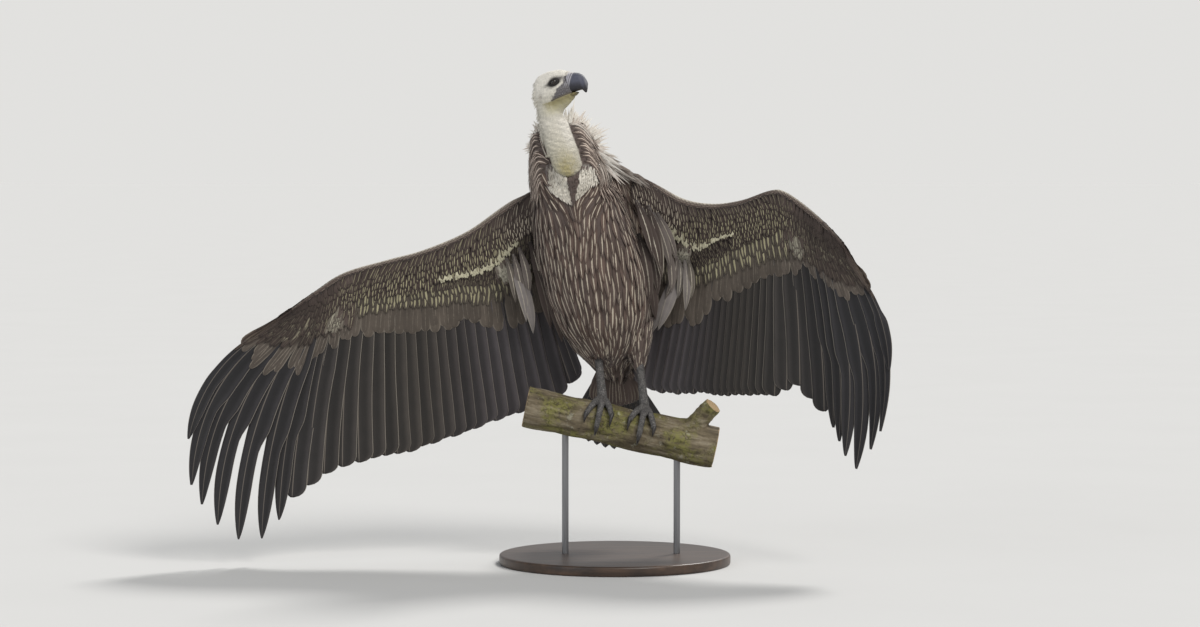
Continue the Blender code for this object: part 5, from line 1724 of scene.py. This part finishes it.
def make_eyes():
    """An eyeball on each side, held in lids that run into the skin."""
    for side, out in (("right", 1), ("left", -1)):
        centre = np.array(from_head((0.0, EYE_OUT * out, 0.0)))
        bpy.ops.mesh.primitive_uv_sphere_add(segments=40, ring_count=32, radius=EYE_RADIUS)
        eye = bpy.context.object
        eye.name = f"eyeball_{side}"
        turn = Vector((0, 0, 1)).rotation_difference(RIGHT * out).to_matrix().to_4x4()
        eye.data.transform(Matrix.Translation(Vector(centre)) @ turn)
        smooth(eye.data)
        places = vertex_places(eye.data)
        a, r, u = head_place(places).T
        off = np.hypot(a, u)
        iris = blend((0.020, 0.012, 0.008), (0.009, 0.006, 0.005), ease((off - 0.0040) / 0.0024))
        write(eye.data, "tint", blend((0.002, 0.002, 0.002), iris, ease((off - 0.0027) / 0.0004)))
        show(eye, "eye", EYE, f"eye_{side}")
        turns = np.linspace(0, 2 * math.pi, 48, endpoint=False)
        ahead = 0.0084 * np.cos(turns)
        up = 0.0058 * np.sin(turns) - 0.0006 * (np.sin(turns) > 0) * np.sin(turns) + 0.05 * ahead
        rings = []
        for wide, height, on_skin in (
            (1.00, 0.0089, 0), (1.03, 0.0096, 0), (1.12, 0.0099, 0), (1.28, 0.0092, 0.40),
            (1.60, 0.0, 1), (1.85, -0.0016, 1), (1.4, -0.0040, 1), (1.0, -0.0045, 1),
        ):
            x, z = ahead * wide, up * wide
            rise = max(height, EYE_RADIUS) ** 2 - np.minimum(x * x + z * z, 7.0e-5)
            on_ball = EYE_OUT + np.sqrt(np.maximum(0, rise))
            ring = []
            for k in range(len(turns)):
                start = Vector(from_head((x[k], out * 0.06, z[k])))
                hit = TREE.ray_cast(start, -RIGHT * out)[0]
                skin_out = abs(head_place(np.array(hit)[None])[0, 1]) if hit else on_ball[k]
                skin_out += 0.0004 + (height if on_skin == 1 else 0)
                level = (1 - on_skin) * on_ball[k] + on_skin * skin_out
                ring.append(from_head((x[k], out * level, z[k])))
            rings.append(np.array(ring))
        bm = bmesh.new()
        made = [[bm.verts.new(p) for p in ring] for ring in rings]
        for ring, after in zip(made, made[1:] + made[:1]):
            for k in range(len(turns)):
                bm.faces.new((ring[k], ring[(k + 1) % len(turns)], after[(k + 1) % len(turns)], after[k]))
        lids = piece_of(f"eyelids_{side}", bm)
        places = vertex_places(lids.data)
        a, r, u = head_place(places).T
        rim = np.repeat(np.array([0.3, 0.8, 1.0, 0.4, 0, 0, 0, 0]), len(turns))
        write(lids.data, "tint", blend((0.012, 0.010, 0.010), (0.028, 0.025, 0.025), rim * 0.8))
        show(lids, "leg_skin", SKIN)


def toe_path(side, name, steps):
    length, spread, way = TOES[name]
    spread *= SIGN[side]
    reach = length / (PERCH_RADIUS + TOE_RADIUS)
    points, radii = [], []
    for t in np.linspace(0, 1, steps):
        radius = TOE_RADIUS * (1.12 - 0.34 * t)
        place = FOOT_PLACE[side] + spread * (t * 1.2 - 0.2 * t * t)
        points.append(on_perch(place, way * reach * t, radius + TOE_CLEAR))
        radii.append(radius)
    return np.array(points), np.array(radii)


def scaled_rings(points, radii, count, pitch):
    """Rings whose size swells at every scute."""
    run = np.concatenate([[0], np.cumsum(np.linalg.norm(np.diff(points, axis=0), axis=1))])
    swell = 1 + 0.07 * np.abs(np.sin(math.pi * run / pitch)) - 0.03
    return tube_rings(points, radii * swell, count)


def make_legs():
    """Scaly shanks and toes, and a curved claw on each toe."""
    for side in SIGN:
        bm = bmesh.new()
        ankle = on_perch(FOOT_PLACE[side], -0.02, 0.012)
        shin = Vector(HEEL[side]).lerp(ankle, 0.5) + Vector((0, -0.002, 0))
        line = curve(evenly([HEEL[side], shin, ankle]))
        t = np.linspace(0, 1, 60)
        radii = TARSUS_RADIUS * curve(evenly([1.25, 0.97, 0.92, 1.0, 1.15]))(t)
        ring_solid(bm, scaled_rings(line(t), radii, 18, 0.0062))
        pad = [tuple(on_perch(FOOT_PLACE[side], turn, 0.0115)) for turn in (-0.26, -0.1, 0.1, 0.26)]
        ring_solid(bm, tube_rings(np.array(pad), (0.0080, 0.0112, 0.0112, 0.0080), 16))
        claws = bmesh.new()
        for name, (length, spread, way) in TOES.items():
            points, radii = toe_path(side, name, 44)
            ring_solid(bm, scaled_rings(points, radii, 16, 0.0068))
            start = length / (PERCH_RADIUS + TOE_RADIUS)
            reach = CLAW_LENGTH[name] / (PERCH_RADIUS + TOE_RADIUS)
            line, sizes = [], []
            for share in np.linspace(0, 1, 18):
                radius = TOE_RADIUS * 0.70 * (1 - 0.90 * share**1.25)
                height = 0.0085 + 0.0090 * share - 0.0158 * share * share
                turn = way * (start - 0.08 + (reach + 0.08) * share)
                height = max(height, radius + TOE_CLEAR)
                line.append(on_perch(FOOT_PLACE[side] + spread * SIGN[side], turn, height))
                sizes.append(radius)
            ring_solid(claws, tube_rings(np.array(line), sizes, 14, 1.25))
        leg = piece_of(f"leg_and_foot_{side}", bm)
        remesh(leg, LEG_GRAIN)
        smooth(leg.data)
        show(leg, "leg_skin", LEG_SKIN, f"foot_{side}", f"tarsus_{side}")
        horn = piece_of(f"claws_{side}", claws)
        show(horn, "horn", CLAW_HORN, *(f"claw_{side}_{name}" for name in TOES))


def dress_thighs():
    """Loose feathers over the thighs, down to the bare shanks, and over the vent."""
    rng = np.random.default_rng(71)
    coat = Coat("thigh_feathers", LANCE)
    for side, low, hip, wide, way, count in (
        ("left", HEEL["left"], (-0.008, -0.012, 0.105), 0.018, (0.02, -0.03, -1.0), 150),
        ("right", HEEL["right"], (-0.008, -0.012, 0.105), 0.018, (0.02, -0.03, -1.0), 150),
        ("vent", (0.004, 0.090, 0.476), (-0.006, -0.040, 0.075), 0.030, (0.02, 0.42, -1.0), 170),
        ("rump", (0.002, 0.104, 0.488), (-0.008, -0.045, 0.085), 0.024, (0.03, 0.66, -0.78), 130),
    ):
        low, hip = np.array(low), np.array(low) + hip
        share, turn = rng.random(count), rng.uniform(0, 2 * math.pi, count)
        radius = wide + 0.030 * share**0.7
        out = abreast(np.cos(turn), np.sin(turn), 0)
        starts = low + (hip - low) * share[:, None] + out * radius[:, None]
        ways = unit(np.array(way) - out * 0.16 + rng.normal(0, 0.05, (count, 3)))
        path = free_path(starts, ways, rng.uniform(0.040, 0.064, count), LANCE.v, -out * 0.16)
        facing = np.broadcast_to(out[:, None], path.shape)
        mark = abreast(rng.uniform(0.15, 0.22, count), rng.uniform(0.7, 1, count), 0.05)
        width, tint = rng.uniform(0.0068, 0.0088, count), BROWN * rng.uniform(0.85, 1.15, (count, 1))
        coat.add(path, facing, width, tint, mark, CREAM, abreast(turn, share + 2 * len(side)))
    coat.build()


# ---- perch and stand ----

def make_perch():
    """A cut length of rough branch with a sawn stub."""
    bm = bmesh.new()
    bm.from_mesh(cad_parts["perch"].data)
    bmesh.ops.remove_doubles(bm, verts=bm.verts[:], dist=1e-5)
    perch = piece_of("branch", bm)
    remesh(perch, BARK_GRAIN)
    run_modifier(perch, "SMOOTH", factor=0.5, iterations=3)
    places, normals = vertex_places(perch.data), vertex_places(perch.data, "normal")
    centre, axis, aim = np.array(PERCH_CENTRE), np.array(PERCH_AXIS), unit(np.array([0.55, -0.25, 0.62]))
    along = (places - centre) @ axis
    stub = (places - centre - axis * 0.150) @ aim
    across = np.linalg.norm(places - centre - axis * 0.150 - aim * stub[:, None], axis=1)
    sawn = ease((np.abs(along) - PERCH_LENGTH / 2 + 0.0035) / 0.002) * (np.abs(normals @ axis) > 0.8)
    sawn = np.maximum(sawn, ease((stub - 0.1155) / 0.002) * (across < 0.03) * (normals @ aim > 0.8))
    flat = abreast(along * 12, places[:, 1] * 60, (places[:, 2] - centre[2]) * 60)
    ridges = np.abs(ripple(flat, 1.6, 81)) + 0.5 * np.abs(ripple(flat, 4.0, 82))
    ridges = ridges + 0.6 * ripple(places, 45, 83)
    knots = np.zeros(len(places))
    for reach, turn, height, size in (
        (-0.165, 1.1, 0.0060, 0.017), (0.118, 1.5, 0.0070, 0.019), (-0.10, 2.1, 0.0050, 0.014),
    ):
        off = np.linalg.norm(places - np.array(on_perch(reach, turn, 0.0)), axis=1)
        knots += height * (np.exp(-((off / size) ** 2)) - 1.15 * np.exp(-((off / size * 2.6) ** 2)))
    places = places + normals * ((0.0020 * ridges - 0.0018 + knots) * (1 - sawn))[:, None]
    reshape(perch.data, places)
    write(perch.data, "sawn", sawn, "FLOAT")
    show(perch, "bark", BARK, "perch")


def make_stand():
    """A round board with an eased edge, and the two rods as modelled."""
    low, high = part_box("stand_base")
    radius, height = (high.x - low.x) / 2, high.z
    deselect()
    bpy.ops.mesh.primitive_cylinder_add(
        vertices=128, radius=radius, depth=height, location=(0, 0, height / 2), enter_editmode=True)
    bpy.ops.mesh.select_all(action="DESELECT")
    board = bpy.context.object
    bm = bmesh.from_edit_mesh(board.data)
    for face in bm.faces:
        face.select_set(abs(face.normal.z) > 0.9)
    bmesh.update_edit_mesh(board.data)
    bpy.ops.mesh.inset(thickness=0.012)
    bpy.ops.object.mode_set(mode="OBJECT")
    board.data.transform(Matrix.Translation((0, 0, height / 2)))
    board.location = (0, 0, 0)
    run_modifier(board, "BEVEL", width=0.005, segments=4, limit_method="ANGLE", angle_limit=math.radians(60))
    board.name = "stand_board"
    pick(board)
    bpy.ops.object.shade_smooth_by_angle(angle=math.radians(30))
    show(board, "stand_board", BOARD, "stand_base")
    for name in ("stand_rod_left", "stand_rod_right"):
        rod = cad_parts[name]
        for slot in rod.material_slots:
            slot.material = METAL


make_studio()
dress_body()
dress_crop()
dress_head()
dress_ruff()
for wing in SIGN:
    dress_flight(wing)
    dress_under_wing(wing)
    dress_upper_wing(wing)
    dress_edge(wing)
dress_tail()
dress_armpits()
dress_thighs()
make_bill()
make_eyes()
make_legs()
make_perch()
make_stand()
deselect()
